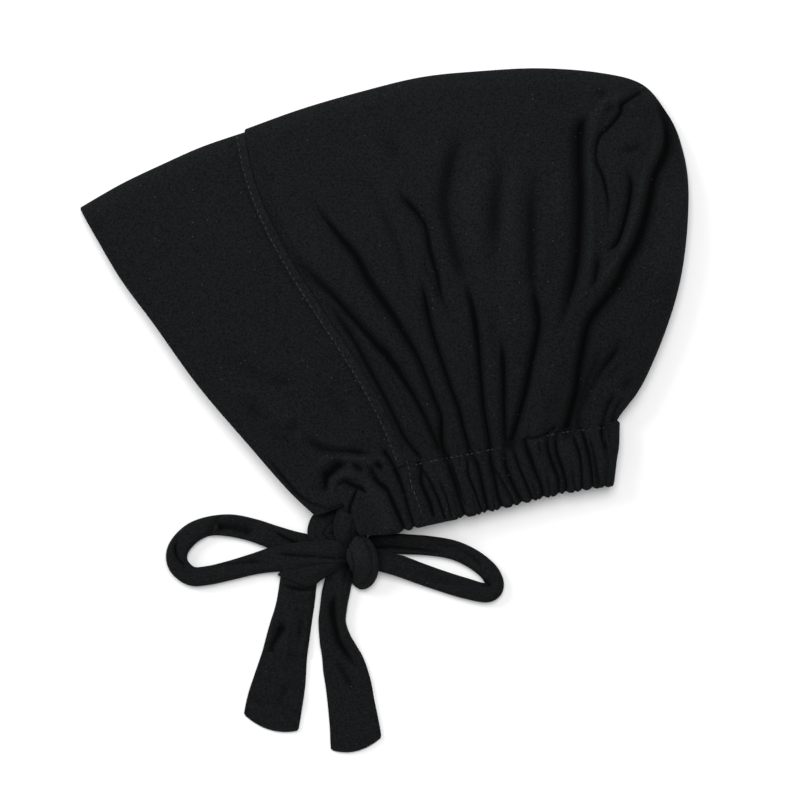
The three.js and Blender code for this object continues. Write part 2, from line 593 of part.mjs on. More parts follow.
// A bunched strap: a rounded bundle, wide by high.
function bundleSection(row, grown) {
  const cells = 4;
  const side = (up) =>
    Array.from({ length: cells + 1 }, (_, k) => {
      const angle = (Math.PI * (k + 0.5)) / (cells + 1);
      const x = -Math.cos(angle) * (row.wide * TIE_WIDTH * 0.5 + grown);
      return new THREE.Vector2(x, up * Math.sin(angle) * (row.high * TIE_WIDTH * 0.5 + grown));
    });
  return [...side(1), ...side(-1).reverse()];
}

function strap(route, reach, width, steps, grown, tongue = 0) {
  const section = (row, by) => strapSection(row, by, width);
  return solidOf(sweep(routeRings(route, reach, steps, section, grown, tongue)));
}
function bundle(route, steps, grown) {
  return solidOf(sweep(routeRings(route, ROOT_REACH, steps, bundleSection, grown, 0)));
}

// Everything, each piece cut clear of the ones that lie over it.
const crownSolid = crown();
const casingSolid = casing(0);
const casingRoom = casing(GAP);
const panelSolid = clearOf(frontPanel(), [casingRoom]);
const knotSolid = bundle(BOW_KNOT_ROUTE, 12, 0);
const panelRoom = [-GAP, 0, GAP].map((shift) => panelSolid.translate([0, shift, shift]));
const room = [bundle(BOW_KNOT_ROUTE, 12, GAP), casingRoom, ...panelRoom];
// Each strap is cut clear of everything placed before it, and its own room kept for the next.
function settled(made) {
  const cut = clearOf(made(0), room);
  room.push(made(GAP));
  return cut;
}
const upperRoot = settled((grown) => bundle(UPPER_ROOT_ROUTE, 10, grown));
const lowerRoot = settled((grown) => bundle(LOWER_ROOT_ROUTE, 12, grown));
const rightTail = settled((grown) =>
  strap(RIGHT_TAIL_ROUTE, RIGHT_TAIL, TIE_WIDTH, 22, grown, END_TONGUE),
);
const leftTail = settled((grown) =>
  strap(LEFT_TURN_ROUTE, LEFT_TAIL, TIE_WIDTH, 6, grown).add(
    strap(LEFT_TAIL_ROUTE, LEFT_TAIL, TIE_WIDTH, 14, grown, END_TONGUE),
  ),
);
const leftLoop = settled((grown) => strap(LEFT_LOOP_ROUTE, LEFT_LOOP, LOOP_WIDTH, 34, grown));
const rightLoop = settled((grown) => strap(RIGHT_LOOP_ROUTE, RIGHT_LOOP, LOOP_WIDTH, 28, grown));

const cap = new THREE.Group();
function add(name, solid, color) {
  const material = new THREE.MeshStandardMaterial({ color, roughness: 0.9, metalness: 0 });
  const mesh = new THREE.Mesh(geometryOf(solid), material);
  mesh.name = name;
  cap.add(mesh);
}
add("front_panel", panelSolid, COLOURS.jersey);
add("crown", crownSolid, COLOURS.jersey);
add("drawstring_casing", casingSolid, COLOURS.jersey);
add("tie_root_upper", upperRoot, COLOURS.strap);
add("tie_root_lower", lowerRoot, COLOURS.strap);
add("bow_knot", knotSolid, COLOURS.strap);
add("bow_loop_left", leftLoop, COLOURS.strap);
add("bow_loop_right", rightLoop, COLOURS.strap);
add("tie_tail_left", leftTail, COLOURS.strap);
add("tie_tail_right", rightTail, COLOURS.strap);

export default cap;
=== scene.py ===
"""A jersey underscarf cap with drawstring ties, lying on its side on a pale table.

The cap is a folded bag: a gathered crown and a two-layer front panel, with a casing of elastic
along the neck and two jersey straps tied in a bow. Lengths are in millimetres where a name or a
table says so, and metres in every mesh.
"""
import math

import bpy
import numpy as np
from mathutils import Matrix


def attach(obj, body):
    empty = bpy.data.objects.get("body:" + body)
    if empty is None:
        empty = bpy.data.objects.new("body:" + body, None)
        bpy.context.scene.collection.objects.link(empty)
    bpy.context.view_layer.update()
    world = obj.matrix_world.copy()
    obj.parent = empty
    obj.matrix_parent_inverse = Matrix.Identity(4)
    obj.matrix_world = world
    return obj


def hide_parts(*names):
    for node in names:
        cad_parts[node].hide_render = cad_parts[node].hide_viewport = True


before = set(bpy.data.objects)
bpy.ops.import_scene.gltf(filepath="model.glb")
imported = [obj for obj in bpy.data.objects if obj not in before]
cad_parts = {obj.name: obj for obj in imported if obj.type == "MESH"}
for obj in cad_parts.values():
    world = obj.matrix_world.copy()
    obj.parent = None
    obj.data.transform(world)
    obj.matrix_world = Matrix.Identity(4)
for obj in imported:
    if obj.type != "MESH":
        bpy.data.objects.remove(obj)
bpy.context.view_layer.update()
bpy.ops.object.select_all(action="DESELECT")


# The view: the cap lies flat and is looked at from straight above, with its closed edge up the
# page. The view takes in 400 mm of the table, so the lens only sets how little it foreshortens.
LENS_MM = 120.0
SENSOR_MM = 36.0
VIEW_WIDTH = 0.400
VIEW_CENTRE = (0.0077, -0.0492)
MID_HEIGHT = 0.006
camera_data = bpy.data.cameras.new("overhead_camera")
camera_data.lens = LENS_MM
camera_data.sensor_width = SENSOR_MM
camera = bpy.data.objects.new("overhead_camera", camera_data)
bpy.context.scene.collection.objects.link(camera)
camera.location = (*VIEW_CENTRE, VIEW_WIDTH * LENS_MM / SENSOR_MM + MID_HEIGHT)
bpy.context.scene.camera = camera


# The table and the light: a white top, softly lit from overhead through a wide diffuser, with
# a little light from all round, so that only the folds themselves shade the cloth.
WORLD_STRENGTH = 0.45
LIT_POINT = (0.0, -0.03, 0.0)
# The table lies a hair below the cap, so that the two never share a plane
TABLE_SIZE, TABLE_DROP = 6.0, 0.0006
bpy.context.scene.view_settings.view_transform = "Standard"
world = bpy.data.worlds.new("studio")
bpy.context.scene.world = world
world.use_nodes = True
surround = world.node_tree.nodes["Background"]
surround.inputs["Color"].default_value = (1.0, 1.0, 1.0, 1.0)
surround.inputs["Strength"].default_value = WORLD_STRENGTH


def soft_light(name, place, size, watts):
    """A square diffuser that faces the middle of the cap."""
    data = bpy.data.lights.new(name, "AREA")
    data.shape = "SQUARE"
    data.size = size
    data.energy = watts
    light = bpy.data.objects.new(name, data)
    bpy.context.scene.collection.objects.link(light)
    light.location = place
    aim = np.array(LIT_POINT) - np.array(place)
    light.rotation_euler = (
        math.pi / 2 + math.atan2(aim[2], math.hypot(aim[0], aim[1])),
        0.0,
        math.atan2(aim[1], aim[0]) - math.pi / 2,
    )


soft_light("diffuser_overhead", (0.05, 0.35, 1.5), 0.9, 17.5)
soft_light("diffuser_side", (-1.1, 0.7, 0.9), 0.7, 11.0)

bpy.ops.mesh.primitive_plane_add(size=TABLE_SIZE, location=(0.0, 0.0, -TABLE_DROP))
table = bpy.context.object
table.name = "table_top"
bpy.ops.object.select_all(action="DESELECT")


def linear(hex_colour):
    """An sRGB hex colour as the linear values that the nodes take."""
    parts = [int(hex_colour[i : i + 2], 16) / 255 for i in (0, 2, 4)]
    turned = [p / 12.92 if p <= 0.04045 else ((p + 0.055) / 1.055) ** 2.4 for p in parts]
    return (*turned, 1.0)


def new_material(name):
    """An empty material with its Principled shader: the material, its tree and the shader."""
    material = bpy.data.materials.new(name)
    material.use_nodes = True
    return material, material.node_tree, material.node_tree.nodes["Principled BSDF"]


def node(tree, kind, settings=None, **sockets):
    """Adds a node. Settings are its own; a socket takes a value, or another node's output.
    Sockets are named, or numbered as in_0, in_1 where names repeat."""
    made = tree.nodes.new("ShaderNode" + kind)
    for key, value in (settings or {}).items():
        setattr(made, key, value)
    for key, value in sockets.items():
        where = int(key[3:]) if key.startswith("in_") else key.replace("_", " ")
        if isinstance(value, bpy.types.NodeSocket):
            tree.links.new(value, made.inputs[where])
        else:
            made.inputs[where].default_value = value
    return made


material, tree, shader = new_material("painted_white_board")
shader.inputs["Base Color"].default_value = linear("F4F4F4")
shader.inputs["Roughness"].default_value = 0.9
shader.inputs["Specular IOR Level"].default_value = 0.1
table.data.materials.append(material)


# Crown: one layer of black viscose jersey, cut wide and drawn in on the casing, so that furrows
# run up from it and fade out. It is folded along the closed edge, and pinched into a tuck near
# the back of the head.
MM = 0.001
CAP_LENGTH_MM, CAP_DEPTH_MM = 304.5, 234.5
CROWN_WALL_MM = 1.4
EDGE_ROLL_MM = 9.0
EDGE_HEIGHT_MM = 8.0
SEAM_LIFT_MM, CROWN_LIFT_MM = 8.0, 12.0
CROWN_SPAN = 0.30
# The layers close on each other near the nape, down to these shares of their arch, outside and in
NAPE_SHUT_MM, SHUT_LEFT = 7.0, (0.15, 0.05)
# Where the two layers meet on the closed edge, as a share of its height
EDGE_MIDDLE = 0.45
# Shares of the crown's width over which its arch rises from the seam and falls to the nape, and
# where it would reach the table
ARCH_RISE, ARCH_FALL, ARCH_END = 0.4, 0.25, 1.04
# Dip where the crown is sewn to the casing: its depth, and its reach as a share of the crown
SEWN_DIP_MM, SEWN_DIP_REACH = 0.3, 0.014
# Light gathers of the lower layer: height, number, how unevenly they are spaced, how far they
# run up it, and where they end before the nape
UNDER_MM, UNDER_GATHERS, UNDER_SHIFT, UNDER_SHIFTS, UNDER_REACH = 1.6, 15, 0.3, 9, 0.25
UNDER_END, UNDER_FADE = 0.97, 0.1
# Columns of the crown's mesh: from, to and how many. They lie closest where furrows crowd
CROWN_COLUMNS = [(0.0, 0.06, 34), (0.06, 0.32, 110), (0.32, 0.985, 196)]
# How much cloth sags beside a sharp furrow, and how that sag is shaded
CROWN_FLANK, SAG_SHADE, SAG_FREE_MM = 0.26, 0.75, 0.6
# A depth that shades nothing, in mm
UNSHADED = -9.0
CASING_THICK_MM, NECK_GAP_MM = 4.4, 5.6
UPPER_MM = 2 * CASING_THICK_MM + NECK_GAP_MM
CASING_HEIGHT_MM = 30.0
CASING_SEAM = 0.25
# How far the casing's ends lean out of square, and over what share of its length
CASING_LEAN_MM, LEAN_REACH = 4.0, 0.15
CROWN_TOP = [
    (0.271, 0.869), (0.363, 0.912), (0.461, 0.949), (0.56, 0.98), (0.658, 0.993),
    (0.757, 0.999), (0.856, 0.989), (0.923, 0.965), (0.962, 0.908), (0.986, 0.844),
    (0.999, 0.74), (0.986, 0.56), (0.938, 0.37), (0.886, 0.252),
]
CASING_LINE = [
    (0.4417, 0.054), (0.501, 0.068), (0.56, 0.0915), (0.675, 0.1225), (0.788, 0.158),
    (0.878, 0.174),
]
CASING_SHARES = [0.86, 1.06, 1.08, 1.05, 1.06, 1.03]
# Lines that run up the crown: foot on the casing, crest on the closed edge, and how far the line
# bows back low and high
RIBS = [
    (0.0, 0.0, 0.014, -0.032), (0.039, 0.006, 0.003, -0.027), (0.12, 0.01, 0.003, -0.034),
    (0.2, 0.015, 0.008, -0.04), (0.222, 0.033, 0.026, -0.012), (0.299, 0.082, 0.018, 0.026),
    (0.358, 0.123, 0.018, 0.04), (0.427, 0.28, 0.006, -0.04), (0.482, 0.339, 0.014, -0.001),
    (0.52, 0.397, 0.03, -0.012), (0.628, 0.442, 0.012, 0.024), (0.798, 0.572, -0.017, 0.023),
    (0.855, 0.641, -0.014, 0.028), (1.0, 0.985, 0.0, 0.0),
]
# Fold lines in plan, in millimetres: height (a furrow's is negative), the share of it that is a
# narrow slot, half width to the front and to the back, shares of the length over which the ends
# fade, and the points from the top down.
CROWN_FOLDS = [
    # in the ditch beside the seam
    (-1.3, 0, 1, 2, 0.3, 0.3, [(-61.3, 55.8), (-54.8, 39.8), (-45.8, 23.2), (-37.3, 10.8),
        (-28.3, -0.8)]),
    # first furrow, beside the seam
    (-4.2, 0.5, 1.5, 2.12, 0.3, 0, [(-33.3, 7.2), (-28.8, 0.2), (-21.8, -9.8), (-14.8, -19.8),
        (-6.8, -35.0), (-0.8, -46.2), (5.2, -58.2), (10.2, -68.2), (17.4, -77.2)]),
    # second
    (-4.2, 0.45, 2.5, 2.25, 0.25, 0, [(-50.3, 29.2), (-41.1, 17.4), (-27.0, 4.3), (-14.8, -8.8),
        (-4.8, -19.8), (3.2, -28.8), (12.4, -43.1), (18.4, -54.2), (24.5, -67.2), (26.7, -72.8)]),
    # hollow round it
    (-2.2, 0, 3.2, 3, 0.4, 0.4, [(-8.3, -15.8), (0.2, -25.2), (6.7, -34.2), (13.7, -44.2)]),
    # third
    (-4.8, 0.45, 3.25, 2.5, 0.35, 0, [(-42.3, 56.8), (-34.0, 45.8), (-22.9, 31.8),
        (-13.8, 21.5), (-6.8, 8.4), (3.2, -5.8), (11.4, -18.8), (17.4, -29.8), (21.5, -40.1),
        (25.5, -50.2), (28.2, -57.8), (28.7, -70.8), (31.2, -78.2)]),
    # short and sharp
    (-3.2, 0.35, 2.5, 2.12, 0.2, 0.35, [(4.7, 57.8), (9.2, 50.8), (16.4, 42.8), (20.4, 35.8),
        (22.5, 24.5), (25.5, 14.4), (28.5, 0.2), (31.5, -5.8), (35.2, -16.8)]),
    # beside it
    (-1.7, 0, 1.6, 1.6, 0.4, 0.4, [(15.7, 32.8), (19.7, 19.8), (24.7, 7.2), (28.2, -5.2),
        (30.7, -14.2)]),
    # fifth
    (-4.4, 0.5, 2.38, 2, 0.25, 0, [(12.4, 16.4), (18.4, 8.4), (21.5, -5.8), (24.5, -17.8),
        (28.5, -29.8), (32.6, -42.1), (36.7, -52.8), (39.2, -63.2), (42.7, -75.2)]),
    # sixth, its soft start
    (-2.1, 0, 5.5, 6, 0.45, 0.25, [(41.7, 80.8), (33.7, 65.8), (30.2, 49.2), (32.7, 34.2),
        (38.2, 15.2), (42.7, 0.8)]),
    # sixth
    (-4.2, 0.45, 2.75, 2.25, 0.45, 0, [(37.2, 19.8), (43.7, -2.2), (46.2, -18.8), (47.7, -36.5),
        (49.2, -52.8), (51.2, -64.2), (52.7, -73.2)]),
    # seventh, its soft start
    (-1.5, 0, 3, 3, 0.5, 0.3, [(55.7, 5.8), (53.7, -9.2), (54.7, -24.2), (57.7, -36.8)]),
    # seventh
    (-3.8, 0.4, 2.38, 2.38, 0.4, 0, [(55.7, -9.2), (58.2, -24.2), (59.2, -39.2), (59.4, -50.2),
        (59.9, -66.5), (61.2, -71.8)]),
    # eighth, its soft start
    (-2, 0, 4.5, 5, 0.5, 0.2, [(72.9, 83.5), (73.2, 70.8), (71.7, 49.2), (71.6, 29.0),
        (72.2, 8.5), (74.7, -4.2)]),
    # eighth
    (-4.6, 0.4, 2.75, 3, 0.3, 0, [(72.2, 15.8), (73.2, 4.8), (75.7, -6.8), (76.2, -12.0),
        (74.9, -20.2), (72.2, -32.2), (70.2, -43.2), (66.7, -57.0), (63.7, -67.8),
        (62.7, -72.2)]),
    # ninth, from the tuck
    (-5.2, 0.22, 4.5, 2.5, 0.1, 0.35, [(100.8, 94.8), (97.9, 85.8), (97.2, 65.5), (97.7, 55.5),
        (96.9, 35.3), (95.7, 20.2), (93.3, 7.8), (89.7, -4.8), (86.2, -15.2), (81.7, -27.2)]),
    # tenth, behind the tuck and down to the casing
    (-5.2, 0.25, 3, 4.5, 0.06, 0, [(132.7, 103.8), (135.7, 97.2), (139.5, 87.6), (140.0, 78.5),
        (137.5, 70.5), (133.5, 62.5), (131.2, 50.4), (128.2, 38.3), (124.2, 27.3),
        (119.4, 19.2), (115.9, 10.2), (109.8, 1.2), (102.8, -7.8), (99.8, -14.9), (97.8, -24.9),
        (96.3, -33.0), (94.8, -45.1), (92.8, -53.1), (90.2, -64.2)]),
    # edge of the tuck
    (-2.6, 0.45, 1.62, 1.38, 0.05, 0.3, [(130.2, 105.8), (121.9, 100.8), (118.0, 97.8),
        (117.7, 94.2), (113.9, 88.8), (110.8, 85.6), (106.8, 81.6), (104.8, 75.5),
        (105.1, 68.5), (107.8, 62.5), (109.8, 54.5), (110.8, 45.4), (109.8, 37.3),
        (106.8, 30.3)]),
    # inside the tuck
    (-3.6, 0.3, 2.38, 1.88, 0.4, 0.2, [(116.7, 71.8), (118.9, 66.8), (121.2, 61.5),
        (122.1, 55.5), (120.6, 45.4), (117.9, 35.3), (114.4, 27.3), (106.2, 23.8)]),
    # below it
    (-2.4, 0, 2.2, 2.2, 0.4, 0.4, [(108.2, 25.8), (105.7, 19.8), (104.2, 10.8), (100.7, 1.8)]),
    # eleventh
    (-3, 0.15, 3.2, 2.4, 0.35, 0, [(116.9, -11.8), (114.9, -23.9), (108.8, -33.0),
        (103.8, -41.1), (100.3, -48.1), (97.0, -55.1), (96.9, -62.8)]),
    # twelfth
    (-2.6, 0.2, 2.5, 2.25, 0.4, 0.15, [(109.7, -18.2), (106.2, -27.2), (102.7, -36.2),
        (99.2, -44.8), (96.2, -53.2)]),
    # thirteenth
    (-2.4, 0.3, 1.62, 1.62, 0.35, 0, [(115.7, -43.8), (111.0, -52.2), (108.8, -61.2),
        (108.3, -65.2)]),
    # last, at the nape
    (-2.2, 0.3, 1.2, 1.2, 0.35, 0, [(119.7, -47.2), (114.7, -54.2), (112.2, -65.2)]),
    # dimple in the tuck
    (-1.6, 0, 2.6, 2.6, 0.4, 0.4, [(127.7, 81.8), (126.2, 77.2), (121.7, 74.8), (114.7, 75.8)]),
    # dimple beside its roll
    (-1.2, 0, 2.2, 2, 0.45, 0.45, [(116.7, 99.8), (112.7, 96.8), (108.2, 92.8)]),
    # dimple above its roll
    (-0.8, 0, 2.4, 2.4, 0.5, 0.5, [(114.7, 105.2), (109.7, 104.2), (102.7, 102.8)]),
    # soft hollows and swells
    (-1.2, 0, 4.5, 4.5, 0.5, 0.5, [(59.2, 90.8), (56.2, 65.8), (53.7, 35.8), (51.7, 0.8)]),
    (-1.3, 0, 3.5, 3.5, 0.5, 0.5, [(85.7, 50.8), (84.2, 30.8), (82.2, 10.8), (78.2, -4.2)]),
    (-1.3, 0, 3, 3, 0.5, 0.5, [(-19.8, 75.8), (-4.3, 50.8), (6.7, 25.8), (13.7, 0.8),
        (19.7, -24.2)]),
    # roll ahead of the tuck
    (1.9, 0, 2, 2.4, 0.1, 0.3, [(127.7, 105.2), (118.7, 101.8), (110.7, 98.8), (105.7, 93.2),
        (102.7, 83.8), (101.7, 70.8), (102.2, 50.8), (102.2, 30.8), (99.7, 8.2), (95.2, -9.2)]),
    # roll behind the tuck
    (2.4, 0, 2.3, 2.2, 0.1, 0.2, [(131.2, 104.8), (136.7, 90.2), (136.2, 78.0), (130.7, 63.2),
        (126.7, 50.8), (122.2, 35.8), (116.2, 22.2), (108.2, 9.8), (102.7, -0.2)]),
    # ridge between the first two
    (1.2, 0, 1.6, 1.6, 0.3, 0.2, [(-19.8, -8.2), (-6.3, -25.2), (5.2, -44.2), (13.7, -61.8),
        (20.2, -73.2)]),
    # ridge beside the third
    (1, 0, 3, 3, 0.4, 0.1, [(10.2, -13.2), (17.7, -29.2), (26.2, -49.2), (32.7, -69.2)]),
    # ridge that laps over the casing
    (1.6, 0, 5, 5, 0.4, 0, [(87.7, -19.2), (81.7, -39.2), (77.7, -54.2), (75.2, -67.2)]),
    # its lip
    (-2.6, 0.6, 1.38, 1.38, 0.2, 0.2, [(68.2, -66.5), (71.7, -68.2), (74.9, -68.2),
        (80.2, -66.2), (84.5, -62.8), (88.7, -62.2)]),
    # soft dents at the back
    (-1.5, 0, 2.4, 2.4, 0.45, 0.45, [(120.7, -25.2), (115.7, -32.2), (110.7, -39.2),
        (106.7, -46.2)]),
    (-1.2, 0, 2.4, 2.4, 0.45, 0.45, [(124.7, -35.2), (119.7, -41.2), (114.7, -47.2)]),
    # soft hollows and swells
    (-1.6, 0, 5, 5, 0.5, 0.5, [(42.7, 91.8), (35.2, 75.8), (31.2, 58.2), (30.7, 40.8)]),
    (1, 0, 5.5, 5.5, 0.5, 0.5, [(50.7, 83.2), (43.7, 63.2), (40.7, 43.2), (42.7, 23.2),
        (46.7, 5.8)]),
    (1.2, 0, 5, 5, 0.5, 0.5, [(65.2, 75.8), (63.2, 50.8), (63.2, 25.8), (64.2, 0.8)]),
    (-0.9, 0, 6, 6, 0.5, 0.5, [(0.7, 90.8), (3.7, 75.8), (6.7, 60.8)]),
    (1.2, 0, 4.5, 4.5, 0.5, 0.5, [(87.7, 85.8), (86.2, 60.8), (85.7, 35.8), (83.7, 13.2)]),
    # swell at the back of the head
    (1.5, 0, 9, 10, 0.3, 0.3, [(145.7, 75.8), (143.7, 50.8), (139.7, 25.8), (132.7, 0.8)]),
]


def place(shares):
    """Points on the table, in metres, from shares of the cap's length and depth."""
    return (np.array(shares, float) - 0.5) * np.array([CAP_LENGTH_MM, CAP_DEPTH_MM]) * MM


POINTS_A_SPAN = 40
TANGENT_STEP = 0.004
# A cubic hump times this is 1 at its top
HUMP = 27 / 4


def line_through(points):
    """A smooth line through points: many points along it, and each one's share of its length."""
    p = np.array(points, float)
    last = len(p) - 1
    t = np.linspace(0, last, POINTS_A_SPAN * last + 1)
    i = np.minimum(t.astype(int), last - 1)
    w = (t - i)[:, None]
    p0, p1, p2, p3 = p[np.maximum(i - 1, 0)], p[i], p[i + 1], p[np.minimum(i + 2, last)]
    v1, v2 = (p2 - p0) / 2, (p3 - p1) / 2
    cubic, square = 2 * p1 - 2 * p2 + v1 + v2, 3 * p2 - 3 * p1 - 2 * v1 - v2
    line = cubic * w**3 + square * w**2 + v1 * w + p1
    run = np.concatenate([[0.0], np.cumsum(np.linalg.norm(np.diff(line, axis=0), axis=1))])
    return line, run / run[-1]


def on_line(curve, share):
    """Points at shares of a line's length."""
    line, at = curve
    return np.stack([np.interp(share, at, line[:, k]) for k in range(line.shape[1])], -1)


def tangent_on(curve, share):
    """Directions of a line at shares of its length."""
    before, after = np.clip(share - TANGENT_STEP, 0, 1), np.clip(share + TANGENT_STEP, 0, 1)
    ahead = on_line(curve, after) - on_line(curve, before)
    return ahead / np.linalg.norm(ahead, axis=-1, keepdims=True)


def eased(at, values):
    """A smooth function through values given at rising places."""
    at, values = np.array(at, float), np.array(values, float)
    k = np.arange(len(at))
    before, after = np.maximum(k - 1, 0), np.minimum(k + 1, len(at) - 1)
    rise = (values[after] - values[before]) / (at[after] - at[before])

    def value(x):
        i = np.clip(np.searchsorted(at, x), 1, len(at) - 1)
        span = at[i] - at[i - 1]
        t = np.clip((x - at[i - 1]) / span, 0, 1)
        ends = (2 * t**3 - 3 * t**2 + 1) * values[i - 1] + (3 * t**2 - 2 * t**3) * values[i]
        return ends + (t**3 - 2 * t**2 + t) * span * rise[i - 1] + (t**3 - t**2) * span * rise[i]

    return value


def smooth(t):
    """Rises from 0 to 1 as t does, level at both ends."""
    t = np.clip(t, 0, 1)
    return t * t * (3 - 2 * t)


def between(a, b, t):
    """From a at t = 0 to b at t = 1, in a straight line."""
    return a + (b - a) * t


casing_line = line_through(place(CASING_LINE))
casing_share = eased(np.linspace(0, 1, len(CASING_SHARES)), CASING_SHARES)


def half_casing(share):
    """Half of the casing's height, in metres."""
    return casing_share(np.clip(share, 0, 1)) * CASING_HEIGHT_MM / 2 * MM


def beside_casing(share, off, ahead=0.0):
    """A point off the casing's middle line, up the page, in half heights. Both ends lean."""
    share, off = np.broadcast_arrays(np.asarray(share, float), np.asarray(off, float))
    at = np.clip(share, 0, 1)
    along = tangent_on(casing_line, at)
    back, front = smooth(1 - (1 - share) / LEAN_REACH), smooth(1 - share / LEAN_REACH)
    lean = CASING_LEAN_MM * MM * (back - front)
    side = np.stack([-along[..., 1], along[..., 0]], -1)
    return (
        on_line(casing_line, at)
        + side * (off * half_casing(share))[..., None]
        + along * (ahead + off * lean)[..., None]
    )


crown_top = line_through(place(CROWN_TOP))
rib_columns = np.array(RIBS).T
rib_crest, rib_low, rib_high = (eased(rib_columns[0], c) for c in rib_columns[1:])


def rib_point(across, along):
    """The crown in plan: across from the seam to the nape, along from the casing to the edge."""
    across, along = np.broadcast_arrays(np.asarray(across, float), np.asarray(along, float))
    foot = beside_casing(between(CASING_SEAM, 1, across), np.ones_like(across))
    crest = on_line(crown_top, np.clip(rib_crest(across), 0, 1))
    low, high = rib_low(across) * (1 - along), rib_high(across) * along
    bow = HUMP * along * (1 - along) * (low + high)
    line = crest - foot
    back = np.stack([line[..., 1], -line[..., 0]], -1)
    back = back / np.linalg.norm(back, axis=-1, keepdims=True)
    return between(foot, crest, along[..., None]) + back * (bow * CAP_LENGTH_MM * MM)[..., None]


# Where furrows meet, the higher this power, the more the deepest one rules
DEEPEST = 2.4
# A fold line narrows from its top to its foot by these shares of its half width
FOLD_TAPER = (1.25, 0.85)
# Half width of a fold's slot, as a share of the fold's, and how round the slot's bottom is
SLOT_WIDTH, SLOT_ROUND = 0.5, 0.5
# How far a fold is worked out, and one with sagging cloth beside it, in half widths
FOLD_REACH, FLANKED_REACH, FLANK_REACH = 4, 7, 3.2
# Every fifth point of a line is close enough for a fold
FOLD_STRIDE = 5


def folds(rows, plan, flank=0.0):
    """Height that fold lines add over the plan, in metres. Where furrows meet, the deepest one
    counts most, so that they don't add up. flank is the share of a sharp furrow's depth by which
    the cloth beside it sags as well."""
    x, y = plan[..., 0].ravel() / MM, plan[..., 1].ravel() / MM
    raised, sunk = np.zeros(len(x)), np.zeros(len(x))
    for height, slot, front, back, fade_in, fade_out, points in rows:
        line, at = line_through(points)
        line, at = line[::FOLD_STRIDE], at[::FOLD_STRIDE]
        reach = (FLANKED_REACH if flank else FOLD_REACH) * max(front, back)
        near = np.flatnonzero(
            (x > line[:, 0].min() - reach) & (x < line[:, 0].max() + reach)
            & (y > line[:, 1].min() - reach) & (y < line[:, 1].max() + reach)
        )
        best, where, side = np.full(len(near), np.inf), np.zeros(len(near)), np.zeros(len(near))
        for a, b, sa, sb in zip(line[:-1], line[1:], at[:-1], at[1:]):
            d = b - a
            px, py = x[near] - a[0], y[near] - a[1]
            t = np.clip((px * d[0] + py * d[1]) / (d @ d), 0, 1)
            off = np.hypot(px - t * d[0], py - t * d[1])
            nearer = off < best
            best = np.where(nearer, off, best)
            where = np.where(nearer, sa + t * (sb - sa), where)
            side = np.where(nearer, d[0] * py - d[1] * px, side)
        taper = between(*FOLD_TAPER, where)
        width = np.where(side < 0, front, back) * taper
        narrow = SLOT_WIDTH * min(front, back) * taper
        shape = (1 - slot) * np.exp(-((best / width) ** 2))
        shape += slot * np.exp(SLOT_ROUND - np.sqrt((best / narrow) ** 2 + SLOT_ROUND**2))
        fade = np.ones(len(near))
        if fade_in:
            fade = fade * smooth(where / fade_in)
        if fade_out:
            fade = fade * smooth((1 - where) / fade_out)
        if height > 0:
            raised[near] += height * shape * fade
        else:
            sunk[near] += np.abs(height * shape * fade) ** DEEPEST
            if flank and slot:
                sag = flank * np.exp(-((best / width / FLANK_REACH) ** 2))
                sunk[near] += np.abs(height * sag * fade) ** DEEPEST
    return (raised - sunk ** (1 / DEEPEST)).reshape(plan.shape[:-1]) * MM


# Points over which a layer's length is measured, and the most of it that the closed edge's roll
# takes
LENGTH_SAMPLES, MOST_ROLL = 25, 0.9


def folded_sheet(columns, plan, height, under, wall_mm, upper, roll, lower, shut_mm=0.0):
    """The outer and inner faces of a layer that runs from its upper rim over the closed edge to
    its lower rim, and how far each point lies from the closed edge along the cloth. Within shut_mm
    of the last column the two layers close on each other."""
    samples = np.broadcast_to(np.linspace(0, 1, LENGTH_SAMPLES), (columns, LENGTH_SAMPLES))
    length = np.linalg.norm(np.diff(plan(samples), axis=1), axis=-1).sum(1)[:, None]
    edge = np.minimum(EDGE_ROLL_MM * MM, MOST_ROLL * length)
    middle = EDGE_MIDDLE * EDGE_HEIGHT_MM * MM
    faces = []
    for inset, left in zip((0.0, wall_mm * MM), SHUT_LEFT):
        rounding, reach = edge - inset, length - inset
        up = between(reach, rounding, np.arange(upper) / upper)
        turn = math.pi / 2 * (1 - np.arange(2 * roll + 1) / roll)
        bent = rounding * (1 - np.cos(turn))
        down = between(rounding, reach, np.arange(1, lower + 1) / lower)
        away = np.concatenate([up, bent, down], 1)
        top = np.concatenate([np.ones(upper), turn >= 0, np.zeros(lower)]) > 0
        bend = np.sqrt(np.maximum(0, 1 - (1 - np.minimum(away / rounding, 1)) ** 2))
        along = np.clip((reach - away) / length, 0, 1)
        flat = plan(along)
        if shut_mm:
            from_end = (np.linalg.norm(flat - flat[-1:], axis=-1) - inset) / (shut_mm * MM)
            shut = np.sqrt(1 - (1 - np.clip(from_end, 0, 1)) ** 2)
            bend = bend * between(left, 1, shut)
        full = np.where(top, height(along, flat) - inset, inset + under(along, flat))
        faces.append(np.concatenate([flat, (middle + (full - middle) * bend)[..., None]], -1))
        signed = np.where(top, away, -away)
    return faces[0], faces[1], signed


